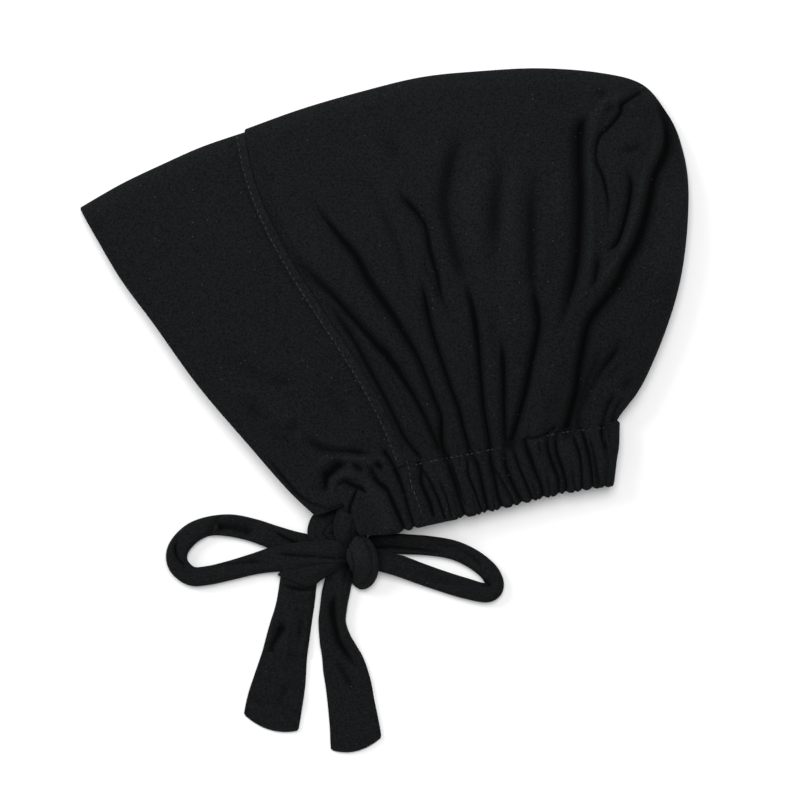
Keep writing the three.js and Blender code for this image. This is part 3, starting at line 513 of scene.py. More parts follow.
def hollow(grid, inside, reach_mm=(1.2, 3.0, 7.0)):
    """How far each point of a face lies below the cloth around it, in millimetres: above 0 in
    furrows and below 0 on ridges. It darkens the cloth where furrows keep the light out."""
    across = np.gradient(grid, axis=0)
    along = np.gradient(grid, axis=1)
    normal = np.cross(across, along)
    normal /= np.linalg.norm(normal, axis=-1, keepdims=True) + 1e-15
    up = np.sign(((grid - inside) * normal).sum())
    total = np.zeros(grid.shape[:2])
    for reach in reach_mm:
        mean = grid
        for axis, step in ((0, across), (1, along)):
            pitch = np.median(np.linalg.norm(step, axis=-1)) / MM
            k = max(1, min(int(reach / pitch), grid.shape[axis] // 3))
            pad = [(0, 0)] * 3
            pad[axis] = (k + 1, k)
            run = np.cumsum(np.pad(mean, pad, mode="edge"), axis=axis)
            ahead = np.take(run, range(2 * k + 1, run.shape[axis]), axis)
            behind = np.take(run, range(0, run.shape[axis] - 2 * k - 1), axis)
            mean = (ahead - behind) / (2 * k + 1)
        total += ((mean - grid) * normal).sum(-1) * up / MM
    return total


def sewn(name, outer, inner, u, v, rim=0.35, shade=1.0, sunk=UNSHADED):
    """A closed sheet of cloth from the grids of its two faces. The rim that joins them is
    rounded out by a share of the wall. u and v are places on the flat cloth, in metres. shade says
    how strongly its furrows darken, and sunk the least depth they are shaded for, in mm."""
    n, m = outer.shape[:2]
    a = np.arange(n * m).reshape(n, m)
    ring = np.concatenate([a[0, :-1], a[:-1, -1], a[-1, :0:-1], a[:0:-1, 0]])
    inward = np.concatenate([a[1, :-1], a[:-1, -2], a[-2, :0:-1], a[:0:-1, 1]])
    flat_outer, flat_inner = outer.reshape(-1, 3), inner.reshape(-1, 3)
    away = flat_outer[ring] - flat_outer[inward]
    away /= np.linalg.norm(away, axis=1, keepdims=True) + 1e-12
    wall = np.linalg.norm(flat_outer[ring] - flat_inner[ring], axis=1, keepdims=True)
    middle = (flat_outer[ring] + flat_inner[ring]) / 2 + away * wall * rim
    points = np.concatenate([flat_outer, flat_inner, middle])
    points[:, 2] = np.maximum(points[:, 2], 0.0)
    face = np.stack([a[:-1, :-1], a[1:, :-1], a[1:, 1:], a[:-1, 1:]], -1).reshape(-1, 4)
    r, s = ring, np.roll(ring, -1)
    k = 2 * n * m + np.arange(len(ring))
    l = np.roll(k, -1)
    faces = np.concatenate([
        face, face[:, ::-1] + n * m,
        np.stack([s, r, k, l], -1), np.stack([l, k, r + n * m, s + n * m], -1),
    ])
    p = points[faces]
    volume = np.einsum("ij,ij->i", p[:, 0], np.cross(p[:, 1], p[:, 2])).sum()
    volume += np.einsum("ij,ij->i", p[:, 0], np.cross(p[:, 2], p[:, 3])).sum()
    if volume < 0:
        faces = faces[:, ::-1]
    mesh = bpy.data.meshes.new(name)
    mesh.from_pydata(points.tolist(), [], faces.tolist())
    flat = np.stack([np.broadcast_to(u, (n, m)), np.broadcast_to(v, (n, m))], -1).reshape(-1, 2)
    flat = np.concatenate([flat, flat, flat[ring]])
    mesh.uv_layers.new(name="cloth").data.foreach_set("uv", flat[faces.ravel()].astype("f").ravel())
    mesh.polygons.foreach_set("use_smooth", np.ones(len(faces), bool))
    rims = {tuple(sorted(pair)) for pair in zip(r.tolist(), s.tolist())}
    rims |= {(i + n * m, j + n * m) for i, j in rims}
    sharp = [tuple(sorted(e.vertices)) in rims for e in mesh.edges]
    mesh.edges.foreach_set("use_edge_sharp", sharp)
    # Painted shade: this depth darkens the cloth's colour in furrows and lightens it on ridges
    dent = np.maximum(hollow(outer, inner) * shade, sunk)
    values = np.concatenate([dent.ravel(), np.zeros(n * m), dent.ravel()[ring]])
    mesh.attributes.new("hollow", "FLOAT", "POINT").data.foreach_set("value", values.astype("f"))
    mesh.update()
    made = bpy.data.objects.new(name, mesh)
    bpy.context.scene.collection.objects.link(made)
    return made


# Sizes in mm of the yarn's unevenness, of rubbed patches, of fuzz and of the cells that may hold
# a speck of lint. Real fuzz and lint are finer, and are drawn as coarse as they need to show
YARN_MM, RUB_MM, FUZZ_MM, LINT_MM = 5 / 7, 10 / 9, 5 / 8, 50 / 21
# Relief of the legs of each stitch and of its yarn, beside the grooves between wales, the share of
# a wale that its groove takes, and how deep the whole relief is
LEG_RELIEF, YARN_RELIEF, GROOVE_SHARE, RELIEF_MM = 0.22, 0.8, 0.2, 0.25
# Span of fuzz and rubbing over which the cloth goes from dark to light, and a speck's soft edge
TONE_SPAN, SPECK_EDGE = (0.85, 1.35), (0.12, 0.07)
# Depths in mm over which painted shade darkens a furrow, and heights over which a painted highlight
# lightens a ridge
DARKENS_MM, RIDGE_HIGHLIGHT_MM = (0.15, 3.0), (0.15, 2.0)
# How much the fuzz counts beside the rubbing, which of the cells hold lint, and how it shows
FUZZ_SHARE, LINT_FROM, LINT_SHOWS = 1.2, 0.9, 0.3
# Colours of the painted shade in furrows, and of lint
FURROW_SHADE_COLOUR, LINT_COLOUR = "020203", "707274"


def jersey(name, dark, light, ridge_highlight, wale_mm, course_mm):
    """Viscose jersey, weft knitted and dyed black: soft and quite matt, and its wales of small V
    stitches only show close up. Wales and courses are drawn about twice as coarse as they are, so
    that they still show. Its colour has painted shade, near black in a furrow, and a painted
    highlight towards charcoal on a ridge; the argument after light says how much lighter the
    highlight makes its ridges."""
    material, tree, shader = new_material(name)
    product, blend = {"operation": "MULTIPLY"}, {"data_type": "RGBA"}
    spot = node(tree, "UVMap", {"uv_map": "cloth"}).outputs["UV"]
    part = node(tree, "SeparateXYZ", Vector=spot)
    wale = node(tree, "Math", product, in_0=part.outputs["X"], in_1=1 / (wale_mm * MM))
    slope = node(tree, "Math", {"operation": "PINGPONG"}, in_0=wale.outputs[0], in_1=0.5)
    course = node(
        tree, "Math", {"operation": "MULTIPLY_ADD"},
        in_0=part.outputs["Y"], in_1=1 / (course_mm * MM), in_2=slope.outputs[0],
    )
    turns = node(tree, "Math", product, in_0=course.outputs[0], in_1=2 * math.pi)
    legs = node(tree, "Math", {"operation": "SINE"}, in_0=turns.outputs[0])
    groove = node(tree, "MapRange", {}, Value=slope.outputs[0], From_Max=GROOVE_SHARE)
    knit = node(
        tree, "Math", {"operation": "MULTIPLY_ADD"},
        in_0=legs.outputs[0], in_1=LEG_RELIEF, in_2=groove.outputs[0],
    )
    body = node(tree, "TexCoord").outputs["Object"]
    yarn = node(tree, "TexNoise", {}, Vector=body, Scale=1 / (YARN_MM * MM), Detail=2.0)
    rub = node(tree, "TexNoise", {}, Vector=body, Scale=1 / (RUB_MM * MM), Detail=2.0)
    fuzz = node(tree, "TexNoise", {}, Vector=body, Scale=1 / (FUZZ_MM * MM), Detail=2.0)
    shade = node(
        tree, "Math", {"operation": "MULTIPLY_ADD"},
        in_0=fuzz.outputs["Fac"], in_1=FUZZ_SHARE, in_2=rub.outputs["Fac"],
    )
    tone = node(
        tree, "MapRange", {}, Value=shade.outputs[0], From_Min=TONE_SPAN[0], From_Max=TONE_SPAN[1]
    )
    cloth = node(
        tree, "Mix", blend, in_0=tone.outputs[0], in_6=linear(dark), in_7=linear(light)
    )
    lint = node(
        tree, "TexVoronoi", {"feature": "F1"},
        Vector=body, Scale=1 / (LINT_MM * MM), Randomness=1.0,
    )
    speck = node(
        tree, "MapRange", {},
        Value=lint.outputs["Distance"], From_Min=SPECK_EDGE[0], From_Max=SPECK_EDGE[1],
    )
    pick = node(tree, "SeparateColor", {}, Color=lint.outputs["Color"])
    rare = node(tree, "Math", {"operation": "GREATER_THAN"}, in_0=pick.outputs[0], in_1=LINT_FROM)
    shows = node(tree, "Math", product, in_0=speck.outputs[0], in_1=rare.outputs[0])
    dust = node(tree, "Math", product, in_0=shows.outputs[0], in_1=LINT_SHOWS)
    # Painted shade and highlight: the hollow depth turns the colour near black in furrows, lighter
    # on ridges
    dent = node(tree, "Attribute", {"attribute_name": "hollow"}).outputs["Fac"]
    shut = node(
        tree, "MapRange", {}, Value=dent, From_Min=DARKENS_MM[0], From_Max=DARKENS_MM[1]
    )
    deep = node(
        tree, "Mix", blend,
        in_0=shut.outputs[0], in_6=cloth.outputs[2], in_7=linear(FURROW_SHADE_COLOUR),
    )
    ridge = node(
        tree, "MapRange", {},
        Value=dent, From_Min=-RIDGE_HIGHLIGHT_MM[0], From_Max=-RIDGE_HIGHLIGHT_MM[1], To_Min=1.0, To_Max=ridge_highlight,
    )
    lit = node(
        tree, "VectorMath", {"operation": "SCALE"}, Vector=deep.outputs[2], Scale=ridge.outputs[0]
    )
    skin = node(
        tree, "Mix", blend, in_0=dust.outputs[0], in_6=lit.outputs[0], in_7=linear(LINT_COLOUR)
    )
    tree.links.new(skin.outputs[2], shader.inputs["Base Color"])
    relief = node(
        tree, "Math", {"operation": "MULTIPLY_ADD"},
        in_0=yarn.outputs["Fac"], in_1=YARN_RELIEF, in_2=knit.outputs[0],
    )
    bump = node(
        tree, "Bump", {}, Height=relief.outputs[0], Strength=0.35, Distance=RELIEF_MM * MM
    )
    tree.links.new(bump.outputs["Normal"], shader.inputs["Normal"])
    shader.inputs["Roughness"].default_value = 0.92
    shader.inputs["Specular IOR Level"].default_value = 0.06
    shader.inputs["Sheen Weight"].default_value = 0.008
    shader.inputs["Sheen Roughness"].default_value = 0.6
    return material


def dressed(piece, node_name, material):
    """Finishes a piece that stands for a CAD node of the same name."""
    piece.data.materials.append(material)
    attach(piece, "root")
    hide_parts(node_name)
    return piece


black_jersey = jersey(
    "black_viscose_jersey", "08090A", "16191A", ridge_highlight=1.45, wale_mm=1.1, course_mm=0.9
)

across = np.concatenate([
    np.linspace(start, end, count, endpoint=end == CROWN_COLUMNS[-1][1])
    for start, end, count in CROWN_COLUMNS
])[:, None]


def arched(lift, along):
    """Height of a layer without its folds, in mm: lift is how far it arches over the hollow."""
    return between(UPPER_MM, EDGE_HEIGHT_MM, along) + lift * 4 * along * (1 - along)


def crown_height(along, flat):
    """Height of the crown's upper layer, in metres."""
    middle = smooth(across / ARCH_RISE) * smooth((1 - across) / ARCH_FALL)
    closing = smooth((ARCH_END - across) / ARCH_FALL)
    arch = arched(between(SEAM_LIFT_MM, CROWN_LIFT_MM, middle) * closing, along)
    dip = SEWN_DIP_MM * np.exp(-along / SEWN_DIP_REACH)
    return (arch - dip) * MM + folds(CROWN_FOLDS, flat, CROWN_FLANK)


def crown_under(along, flat):
    """Gathers of the lower layer beside the casing, lifted off the table."""
    turns = UNDER_GATHERS * across + UNDER_SHIFT * np.sin(UNDER_SHIFTS * across)
    ripple = 0.5 + 0.5 * np.cos(2 * math.pi * turns)
    end = smooth((UNDER_END - across) / UNDER_FADE)
    return UNDER_MM * MM * ripple**2 * np.exp(-along / UNDER_REACH) * end


outer, inner, run = folded_sheet(
    len(across), lambda along: rib_point(across, along), crown_height, crown_under,
    CROWN_WALL_MM, upper=112, roll=8, lower=14, shut_mm=NAPE_SHUT_MM,
)
sag = -folds(CROWN_FOLDS, outer[..., :2], CROWN_FLANK) / MM
sag = np.where(run > 0, SAG_SHADE * sag - SAG_FREE_MM, UNSHADED)
crown = dressed(
    sewn("crown_cloth", outer, inner, across * CROWN_SPAN, run, sunk=sag),
    "crown", black_jersey,
)


# Front panel: two layers of the same jersey, smooth over the forehead. Its hem is folded inwards
# along the face, its back edge is sewn to the crown and topstitched, and it creases softly where
# it narrows towards the casing.
PANEL_WALL_MM = 1.8
FACE_LIFT_MM = 4.0
PANEL_SPAN = 0.13
# Strip over the turned seam allowance: where its slope starts, how far from the crown, how far it
# rises, and how wide the slope is
SEAM_FOOT_MM, SEAM_RISE_MM, SEAM_EASE_MM = 5.6, 1.0, 1.6
# Dips along the seam, under the topstitching and at the join: depth, half width, and how far
# each lies from the crown
STITCH_DIP_MM, JOIN_DIP_MM = (0.35, 0.7, 4.7), (0.6, 0.7, 0.0)
# The last column stops short of the crown by this much
SEAM_GAP_MM = 0.3
# Shares of the panel's width at which its foot reaches the casing's open end and its upper
# corner, and where on that end it meets it, in half heights
PANEL_TIP, PANEL_CORNER, FRONT_MEETS = 0.17, 0.28, 0.25
PANEL_TOP = [(0.0, 0.702), (0.067, 0.752), (0.133, 0.793), (0.199, 0.831), (0.271, 0.863)]
FACE_EDGE = [
    (0.388, 0.046), (0.345, 0.099), (0.281, 0.194), (0.197, 0.322), (0.126, 0.45),
    (0.071, 0.546), (0.027, 0.641), (0.0, 0.702),
]
PANEL_FOLDS = [
    # crease above the casing
    (-2.8, 0, 3.2, 2, 0.35, 0.2, [(-42.3, -64.8), (-38.8, -68.2), (-34.8, -71.0),
        (-29.3, -73.5), (-22.3, -74.8), (-16.3, -75.0), (-10.3, -76.0), (-6.3, -78.2)]),
    # deep fold ahead of the casing
    (-4.4, 0.1, 4, 2.6, 0.3, 0.35, [(-16.8, -77.8), (-20.4, -79.8), (-24.7, -84.2),
        (-28.6, -88.4), (-30.1, -92.8), (-28.3, -97.2)]),
    # folds that run on into the casing
    (-2.4, 0.25, 1.8, 1.6, 0.35, 0, [(-8.8, -79.8), (-6.7, -83.3), (-4.1, -89.3), (1.1, -93.6)]),
    (-3, 0.4, 1.4, 1.2, 0.25, 0, [(-1.8, -72.2), (1.1, -76.4), (4.5, -81.6), (7.1, -87.6)]),
    # pit between them
    (-2.6, 0, 1.7, 1.5, 0.3, 0.3, [(-4.8, -79.2), (-2.6, -82.0), (0.2, -82.2)]),
    # edge of the face hem
    (-1.1, 0.2, 0.9, 0.8, 0.3, 0, [(-61.3, -73.8), (-57.3, -78.5), (-47.0, -91.0),
        (-40.2, -97.8), (-32.4, -101.9), (-27.3, -103.0), (-20.8, -100.8)]),
    # roll over the casing's mouth
    (2, 0, 2.4, 2.4, 0.2, 0.2, [(-26.8, -92.2), (-24.3, -88.8), (-20.3, -85.9), (-14.4, -86.8),
        (-8.4, -91.0), (-5.8, -95.8)]),
    # arch above it
    (1.6, 0, 2.2, 2.2, 0.3, 0.3, [(-26.8, -79.5), (-21.8, -77.9), (-16.3, -77.5),
        (-10.8, -78.5), (-6.8, -81.8), (-4.3, -86.2)]),
    # hollow under the arch
    (-1.6, 0, 1.8, 1.8, 0.4, 0.4, [(-17.3, -81.2), (-13.3, -82.8), (-10.3, -86.2)]),
    # crease above the mouth
    (-2.4, 0.3, 1.2, 1.4, 0.2, 0.2, [(-24.3, -92.8), (-22.3, -90.2), (-19.3, -89.6),
        (-15.8, -91.8), (-11.0, -93.6), (-8.8, -96.8)]),
    # soft hollows and swells
    (-1.9, 0, 5, 5, 0.5, 0.5, [(-89.8, -21.8), (-74.8, -30.2), (-58.3, -38.8), (-47.3, -41.2),
        (-37.3, -37.2)]),
    # dent
    (-1.6, 0, 3.2, 3.2, 0.4, 0.4, [(-61.3, -40.8), (-56.3, -40.2), (-50.3, -40.5),
        (-43.3, -37.8)]),
    # soft hollows and swells
    (-1.3, 0, 5, 5, 0.5, 0.5, [(-33.3, -39.2), (-27.3, -49.2), (-19.8, -59.2)]),
    (-0.9, 0, 4, 4, 0.5, 0.5, [(-19.8, -59.2), (-12.3, -67.2), (-3.3, -72.2)]),
    (1.5, 0, 5, 5, 0.5, 0.5, [(-67.3, -45.2), (-52.3, -54.2), (-39.8, -61.8), (-27.3, -67.2)]),
    (-0.8, 0, 4, 4, 0.5, 0.5, [(-67.3, -54.2), (-55.3, -65.2), (-42.3, -74.2), (-33.3, -84.2)]),
    (-0.7, 0, 7, 7, 0.5, 0.5, [(-117.3, 43.2), (-104.8, 23.2), (-97.3, 0.8), (-89.8, -14.2)]),
    (-1.3, 0, 4.5, 4.5, 0.5, 0.5, [(-72.3, -45.2), (-68.8, -50.2), (-63.3, -57.2),
        (-58.3, -63.2)]),
    (-1.2, 0, 4.5, 4.5, 0.5, 0.5, [(-49.3, -58.2), (-44.3, -63.2), (-40.3, -67.2)]),
    (-1.6, 0, 4, 4, 0.5, 0.5, [(-27.3, -44.2), (-24.3, -50.2), (-19.8, -56.2), (-14.3, -61.2)]),
    (1.2, 0, 3, 3, 0.5, 0.5, [(-19.8, -65.2), (-13.3, -67.2), (-7.3, -71.2)]),
    (0.7, 0, 8, 8, 0.5, 0.5, [(-84.8, 50.8), (-76.3, 25.8), (-64.8, 0.8), (-49.8, -21.8)]),
]
panel_top = line_through(place(PANEL_TOP))
face_edge = line_through(place(FACE_EDGE))


def panel_foot(across):
    """The panel's foot in plan: from the face edge to the casing, up its open end and along it."""
    across = np.asarray(across, float)
    front = np.zeros_like(across)
    meets = beside_casing(front, front + FRONT_MEETS)
    tip = between(on_line(face_edge, front), meets, (across / PANEL_TIP)[..., None])
    rise = (across - PANEL_TIP) / (PANEL_CORNER - PANEL_TIP)
    side = beside_casing(front, between(FRONT_MEETS, 1, np.clip(rise, 0, 1)))
    run = (across - PANEL_CORNER) / (1 - PANEL_CORNER)
    top = beside_casing(np.clip(run, 0, 1) * CASING_SEAM, 1.0)
    beyond = np.where((across < PANEL_CORNER)[..., None], side, top)
    return np.where((across < PANEL_TIP)[..., None], tip, beyond)


def panel_point(across, along):
    """The panel in plan: across from the face edge to the seam, along as for the crown."""
    across, along = np.broadcast_arrays(np.asarray(across, float), np.asarray(along, float))
    x, y = across[..., None], along[..., None]
    zero, one = np.zeros_like(along), np.ones_like(along)
    sides = between(on_line(face_edge, along), rib_point(zero, along), x)
    ends = between(panel_foot(across), on_line(panel_top, across), y)
    low = between(on_line(face_edge, zero), rib_point(zero, zero), x)
    high = between(on_line(face_edge, one), rib_point(zero, one), x)
    return sides + ends - between(low, high, y)


PANEL_ACROSS, PANEL_UPPER, PANEL_ROLL = 200, 140, 10
panel_columns = np.linspace(0, 1, PANEL_ACROSS)[:, None]


def panel_width(along):
    """Width of the panel, in metres."""
    seam = rib_point(np.zeros_like(along), along)
    return np.linalg.norm(on_line(face_edge, along) - seam, axis=-1)


def panel_across(along):
    """Columns run straight up the panel, spread up to the gap at the seam."""
    return panel_columns * (1 - SEAM_GAP_MM * MM / panel_width(along))


def seam_furrow(sizes, from_seam):
    """A furrow along the seam, in mm."""
    depth, half_width, away = sizes
    return -depth * np.exp(-(((from_seam - away) / half_width) ** 2))


def panel_height(along, flat):
    """Height of the panel's upper layer, in metres."""
    across = panel_across(along)
    arch = arched(between(FACE_LIFT_MM, SEAM_LIFT_MM, smooth(across)), along)
    from_seam = (1 - across) * panel_width(along) / MM
    strip = SEAM_RISE_MM * smooth((SEAM_FOOT_MM - from_seam) / SEAM_EASE_MM)
    dips = seam_furrow(STITCH_DIP_MM, from_seam) + seam_furrow(JOIN_DIP_MM, from_seam)
    return (arch + strip + dips) * MM + folds(PANEL_FOLDS, flat)


outer, inner, run = folded_sheet(
    PANEL_ACROSS, lambda along: panel_point(panel_across(along), along), panel_height,
    lambda along, flat: np.zeros_like(along), PANEL_WALL_MM,
    upper=PANEL_UPPER, roll=PANEL_ROLL, lower=20,
)
panel = dressed(
    sewn("front_panel_cloth", outer, inner, panel_columns * PANEL_SPAN, run),
    "front_panel", black_jersey,
)
panel_faces = outer


# Casing: the neck hem of the jersey, sewn round a strip of elastic that draws it into uneven
# pleats. Its open front end is smooth, folded back in a small hem, and lets the straps out.
# Its fold lines, in columns as for the crown.
CASING_FOLDS = [
    # edge of the front hem
    (-1.5, 0.5, 0.7, 0.7, 0, 0, [(-13.5, -93.2), (-15.5, -98.2), (-17.0, -103.1),
        (-16.1, -108.2), (-12.1, -119.2)]),
    # band of the front hem
    (0.5, 0, 1.4, 1.2, 0, 0, [(-21.3, -92.2), (-19.8, -99.2), (-17.3, -109.2), (-13.8, -119.2)]),
    # plump run behind it
    (1.3, 0, 4.6, 5, 0.2, 0.1, [(-8.3, -84.2), (-5.8, -93.2), (-1.3, -104.2), (3.2, -116.2)]),
    # pleats from the panel
    (-2.4, 0.4, 1.88, 1.38, 0, 0, [(-6.7, -83.3), (-4.1, -89.3), (1.1, -93.6), (4.5, -100.4),
        (7.9, -108.2), (9.9, -113.8), (10.8, -116.1)]),
    (-2.4, 0.5, 1.38, 1.12, 0, 0, [(0.7, -74.2), (3.2, -79.8), (7.0, -87.4), (9.7, -95.2),
        (12.1, -103.7), (14.7, -112.2), (15.4, -114.6)]),
    # pleats from the crown
    (-2.6, 0.4, 1.88, 1.38, 0, 0.1, [(14.2, -72.2), (17.1, -80.2), (18.2, -85.2), (18.7, -90.8),
        (21.2, -96.8), (23.2, -101.9), (24.9, -108.8)]),
    (-2, 0.5, 1.12, 1.12, 0.15, 0, [(16.7, -78.2), (18.9, -84.0), (22.3, -89.2), (25.8, -96.0),
        (29.2, -105.2), (30.0, -107.6)]),
    (-2.9, 0.4, 2, 1.38, 0, 0, [(28.2, -72.2), (30.0, -76.3), (32.6, -83.2), (36.0, -93.4),
        (39.4, -105.2), (40.1, -107.6)]),
    (-1.4, 0.5, 0.75, 0.75, 0.3, 0, [(26.2, -86.8), (28.3, -91.8), (30.9, -97.7),
        (32.6, -104.8), (33.2, -107.2)]),
    (-1.7, 0.5, 0.88, 0.88, 0.1, 0.1, [(31.2, -75.2), (32.6, -78.9), (35.2, -85.8),
        (38.6, -96.8), (40.7, -102.8)]),
    (-2.9, 0.4, 1.75, 1.5, 0, 0, [(40.7, -69.2), (42.2, -74.2), (45.4, -79.8), (47.1, -84.0),
        (48.8, -91.8), (51.0, -101.8), (51.5, -104.2)]),
    (-2, 0.5, 1.12, 1, 0.1, 0, [(41.2, -75.2), (41.4, -81.8), (42.0, -87.4), (44.6, -93.4),
        (48.0, -103.2), (48.8, -105.6)]),
    (-2.9, 0.4, 1.88, 1.5, 0, 0, [(51.8, -69.5), (53.1, -80.6), (54.8, -88.2), (56.5, -96.8),
        (58.2, -101.8), (59.0, -104.1)]),
    (-1.9, 0.5, 1.12, 1, 0.2, 0, [(52.2, -76.8), (54.0, -82.2), (58.2, -89.2), (62.5, -96.8),
        (64.2, -101.2), (65.1, -103.6)]),
    (-2.6, 0.4, 1.75, 1.5, 0, 0, [(61.2, -67.2), (59.9, -76.3), (60.8, -83.2), (64.2, -91.8),
        (68.5, -100.2), (69.6, -102.5)]),
    (-2.2, 0.45, 1.25, 1.12, 0, 0, [(63.2, -68.2), (64.2, -73.8), (66.8, -82.2), (70.2, -90.0),
        (73.6, -98.8), (74.6, -101.1)]),
    (-2.8, 0.4, 1.88, 1.38, 0, 0, [(68.7, -65.2), (71.1, -73.8), (74.5, -83.2), (77.9, -91.8),
        (79.2, -97.2), (79.8, -99.7)]),
    (-2.5, 0.4, 1.75, 1.25, 0, 0, [(81.3, -64.2), (81.3, -72.9), (83.9, -81.4), (86.4, -88.2),
        (86.9, -94.8), (87.1, -97.2)]),
    (-2.7, 0.4, 1.88, 1.25, 0, 0, [(88.2, -61.8), (85.6, -66.9), (85.6, -74.7), (88.2, -82.2),
        (90.2, -89.2), (90.4, -94.2), (90.6, -96.8)]),
    (-1.9, 0.4, 1.25, 1.12, 0.1, 0, [(92.2, -63.2), (94.7, -69.8), (97.4, -78.2), (98.4, -91.8),
        (98.6, -94.2)]),
    (-2.4, 0.45, 1.5, 1.12, 0, 0, [(95.8, -61.2), (98.4, -65.2), (100.9, -73.8), (102.7, -82.2),
        (103.6, -90.8), (103.8, -93.2)]),
    (-1.4, 0.5, 0.88, 0.75, 0.2, 0, [(99.2, -66.2), (100.9, -72.1), (104.4, -80.6),
        (105.7, -88.8), (106.1, -91.2)]),
    (-3, 0.5, 1.12, 1, 0, 0, [(108.1, -61.2), (108.7, -67.2), (110.7, -75.2), (111.5, -80.2),
        (110.2, -90.2), (109.9, -92.8)]),
    (-2.8, 0.5, 1, 1, 0, 0, [(110.9, -62.2), (112.2, -69.2), (113.9, -77.2), (114.4, -82.2),
        (113.7, -90.2), (113.5, -92.8)]),
    # short pleats at the lower edge
    (-1.2, 0.5, 0.75, 0.75, 0.5, 0, [(53.2, -93.2), (54.7, -101.8), (55.1, -104.2)]),
    (-1.2, 0.5, 0.75, 0.75, 0.5, 0, [(71.7, -85.2), (76.2, -97.8), (77.1, -100.1)]),
    (-1.2, 0.5, 0.75, 0.75, 0.5, 0, [(80.2, -83.2), (82.4, -95.2), (82.9, -97.7)]),
    (-1.2, 0.5, 0.75, 0.75, 0.5, 0, [(92.7, -80.2), (94.7, -92.8), (95.1, -95.2)]),
    (-1.2, 0.5, 0.75, 0.75, 0.5, 0, [(33.2, -92.2), (36.4, -105.2), (37.0, -107.7)]),
    (-1, 0.5, 0.75, 0.75, 0.5, 0, [(43.7, -93.8), (45.4, -103.2), (45.9, -105.7)]),
    (-1.5, 0.5, 0.75, 0.75, 0.2, 0, [(101.7, -66.2), (103.7, -74.2), (105.4, -81.2),
        (106.7, -89.2), (107.1, -91.7)]),
    # short pleats at the top
    (-1.3, 0.4, 0.88, 0.88, 0, 0.5, [(35.7, -72.2), (37.2, -78.2), (38.2, -84.2)]),
    (-1.2, 0.4, 0.88, 0.88, 0, 0.5, [(46.7, -69.8), (48.7, -76.8), (49.7, -83.2)]),
    (-1.2, 0.4, 1, 1, 0, 0.5, [(55.7, -68.2), (57.2, -74.2), (58.2, -80.2)]),
    (-1.3, 0.4, 1, 1, 0, 0.5, [(75.2, -66.2), (77.2, -72.8), (78.2, -79.2)]),
]
CASING_ALONG, CASING_BEND, CASING_ACROSS = 680, 60, 32
LEAST_WALL_MM, DEEPEST_PLEAT_MM = 1.0, 2.6
# Where along the casing its smooth front end turns into pleats, and over what share
PLEATED_FROM, PLEATED_OVER = 0.13, 0.05
# Thickness beside the middle's: at the sewn edge of the smooth end and of the pleated length, at
# that of the lower layer, and at the free edge
SEWN_EDGES, LOWER_SEWN_EDGE, FREE_EDGE = (1.0, 0.9), 0.5, 0.18
# How full the casing is towards its edges, outside and in
FULLNESS, INNER_FULLNESS = 0.7, 0.5
# Low swells between the pleats: height, and how far they turn, in radians, along the casing and
# over half its height
SWELL_MM, SWELLS_ALONG, SWELLS_OVER = 0.35, 40, 3
# A pleat keeps this share of its depth at the edges, and sinks no deeper than this share of the
# layer's half thickness
EDGE_PLEAT, MOST_SUNK = 0.4, 0.9
# Pleats draw the lower edge in by this share of their depth, measured this far up from the edge
# and fading out above it, in columns and half heights
PLEAT_PULL, PULL_COLUMN, PULL_BELOW = 0.7, -4, 0.6
# How far the rim is rounded, and how furrows and pleats are shaded
CASING_RIM, CASING_SHADE, PLEAT_SHADE, PLEAT_FREE_MM = 0.5, 2.1, 1.15, 0.3
# Cloth in a metre of the drawn-in casing, for the knit pattern
CASING_GATHERED = 2.2
# The turn at the nape is squarer than a circle, as the elastic holds the layers flat up to it, and
# pleats beside it fade out on it
SQUARE_TURN, NAPE_REACH, NAPE_CALM = 0.5, 1.3, 0.85
casing_length = np.linalg.norm(np.diff(casing_line[0], axis=0), axis=1).sum()
low = CASING_THICK_MM / 2 * MM
turn = (CASING_THICK_MM + NECK_GAP_MM) / 2 * MM
reach = (casing_length - turn - low) / casing_length


def casing_layer(share, height, forward, angle, lower):
    """Outer and inner faces of one run of the casing, facing up at angle 0 and down at pi, and how
    deep its pleats are in mm. The lower layer has the same pleats as the upper one."""
    off = np.cos(np.linspace(0, math.pi, CASING_ACROSS + 1))[None, :]
    share = share[:, None]
    pleated = beside_casing(share, off, forward)
    rows = CASING_FOLDS if lower else CASING_FOLDS + CROWN_FOLDS + PANEL_FOLDS
    fall = -folds(rows, pleated)
    fall = DEEPEST_PLEAT_MM * MM * np.tanh(fall / (DEEPEST_PLEAT_MM * MM))
    fall *= 1 - NAPE_CALM * smooth(forward / (NAPE_REACH * turn))
    pleats = smooth((share - PLEATED_FROM) / PLEATED_OVER)
    plump = np.sqrt(np.maximum(0, 1 - off**2))
    sewn_edge = LOWER_SEWN_EDGE if lower else between(*SEWN_EDGES, pleats)
    least = np.where(off > 0, sewn_edge, FREE_EDGE)
    body = low * np.maximum(least, between(FREE_EDGE, 1, plump**FULLNESS))
    swell = SWELL_MM * MM * np.sin(SWELLS_ALONG * share + SWELLS_OVER * off) * pleats * plump
    sunk = fall * np.maximum(between(EDGE_PLEAT, 1, plump), off)
    face = np.maximum(body + swell - sunk, -MOST_SUNK * low)
    pull = PLEAT_PULL * np.maximum(fall[:, PULL_COLUMN][:, None], 0) / half_casing(share)
    drawn_in = off + pull * smooth((-off - PULL_BELOW) / (1 - PULL_BELOW))
    flat = beside_casing(share, drawn_in, forward)
    along = tangent_on(casing_line, np.clip(share, 0, 1))
    ahead, up = np.sin(angle)[:, None, None], np.cos(angle)[:, None, None]
    out = np.concatenate([along * ahead, np.broadcast_to(up, (*along.shape[:2], 1))], -1)
    out = np.broadcast_to(out, (*face.shape, 3))
    level = np.broadcast_to(height[:, None, None], (*face.shape, 1))
    middle = np.concatenate([flat, level], -1)
    back = np.maximum(low * (FREE_EDGE + INNER_FULLNESS * plump), LEAST_WALL_MM * MM - face)
    return middle + out * face[..., None], middle - out * back[..., None], fall / MM


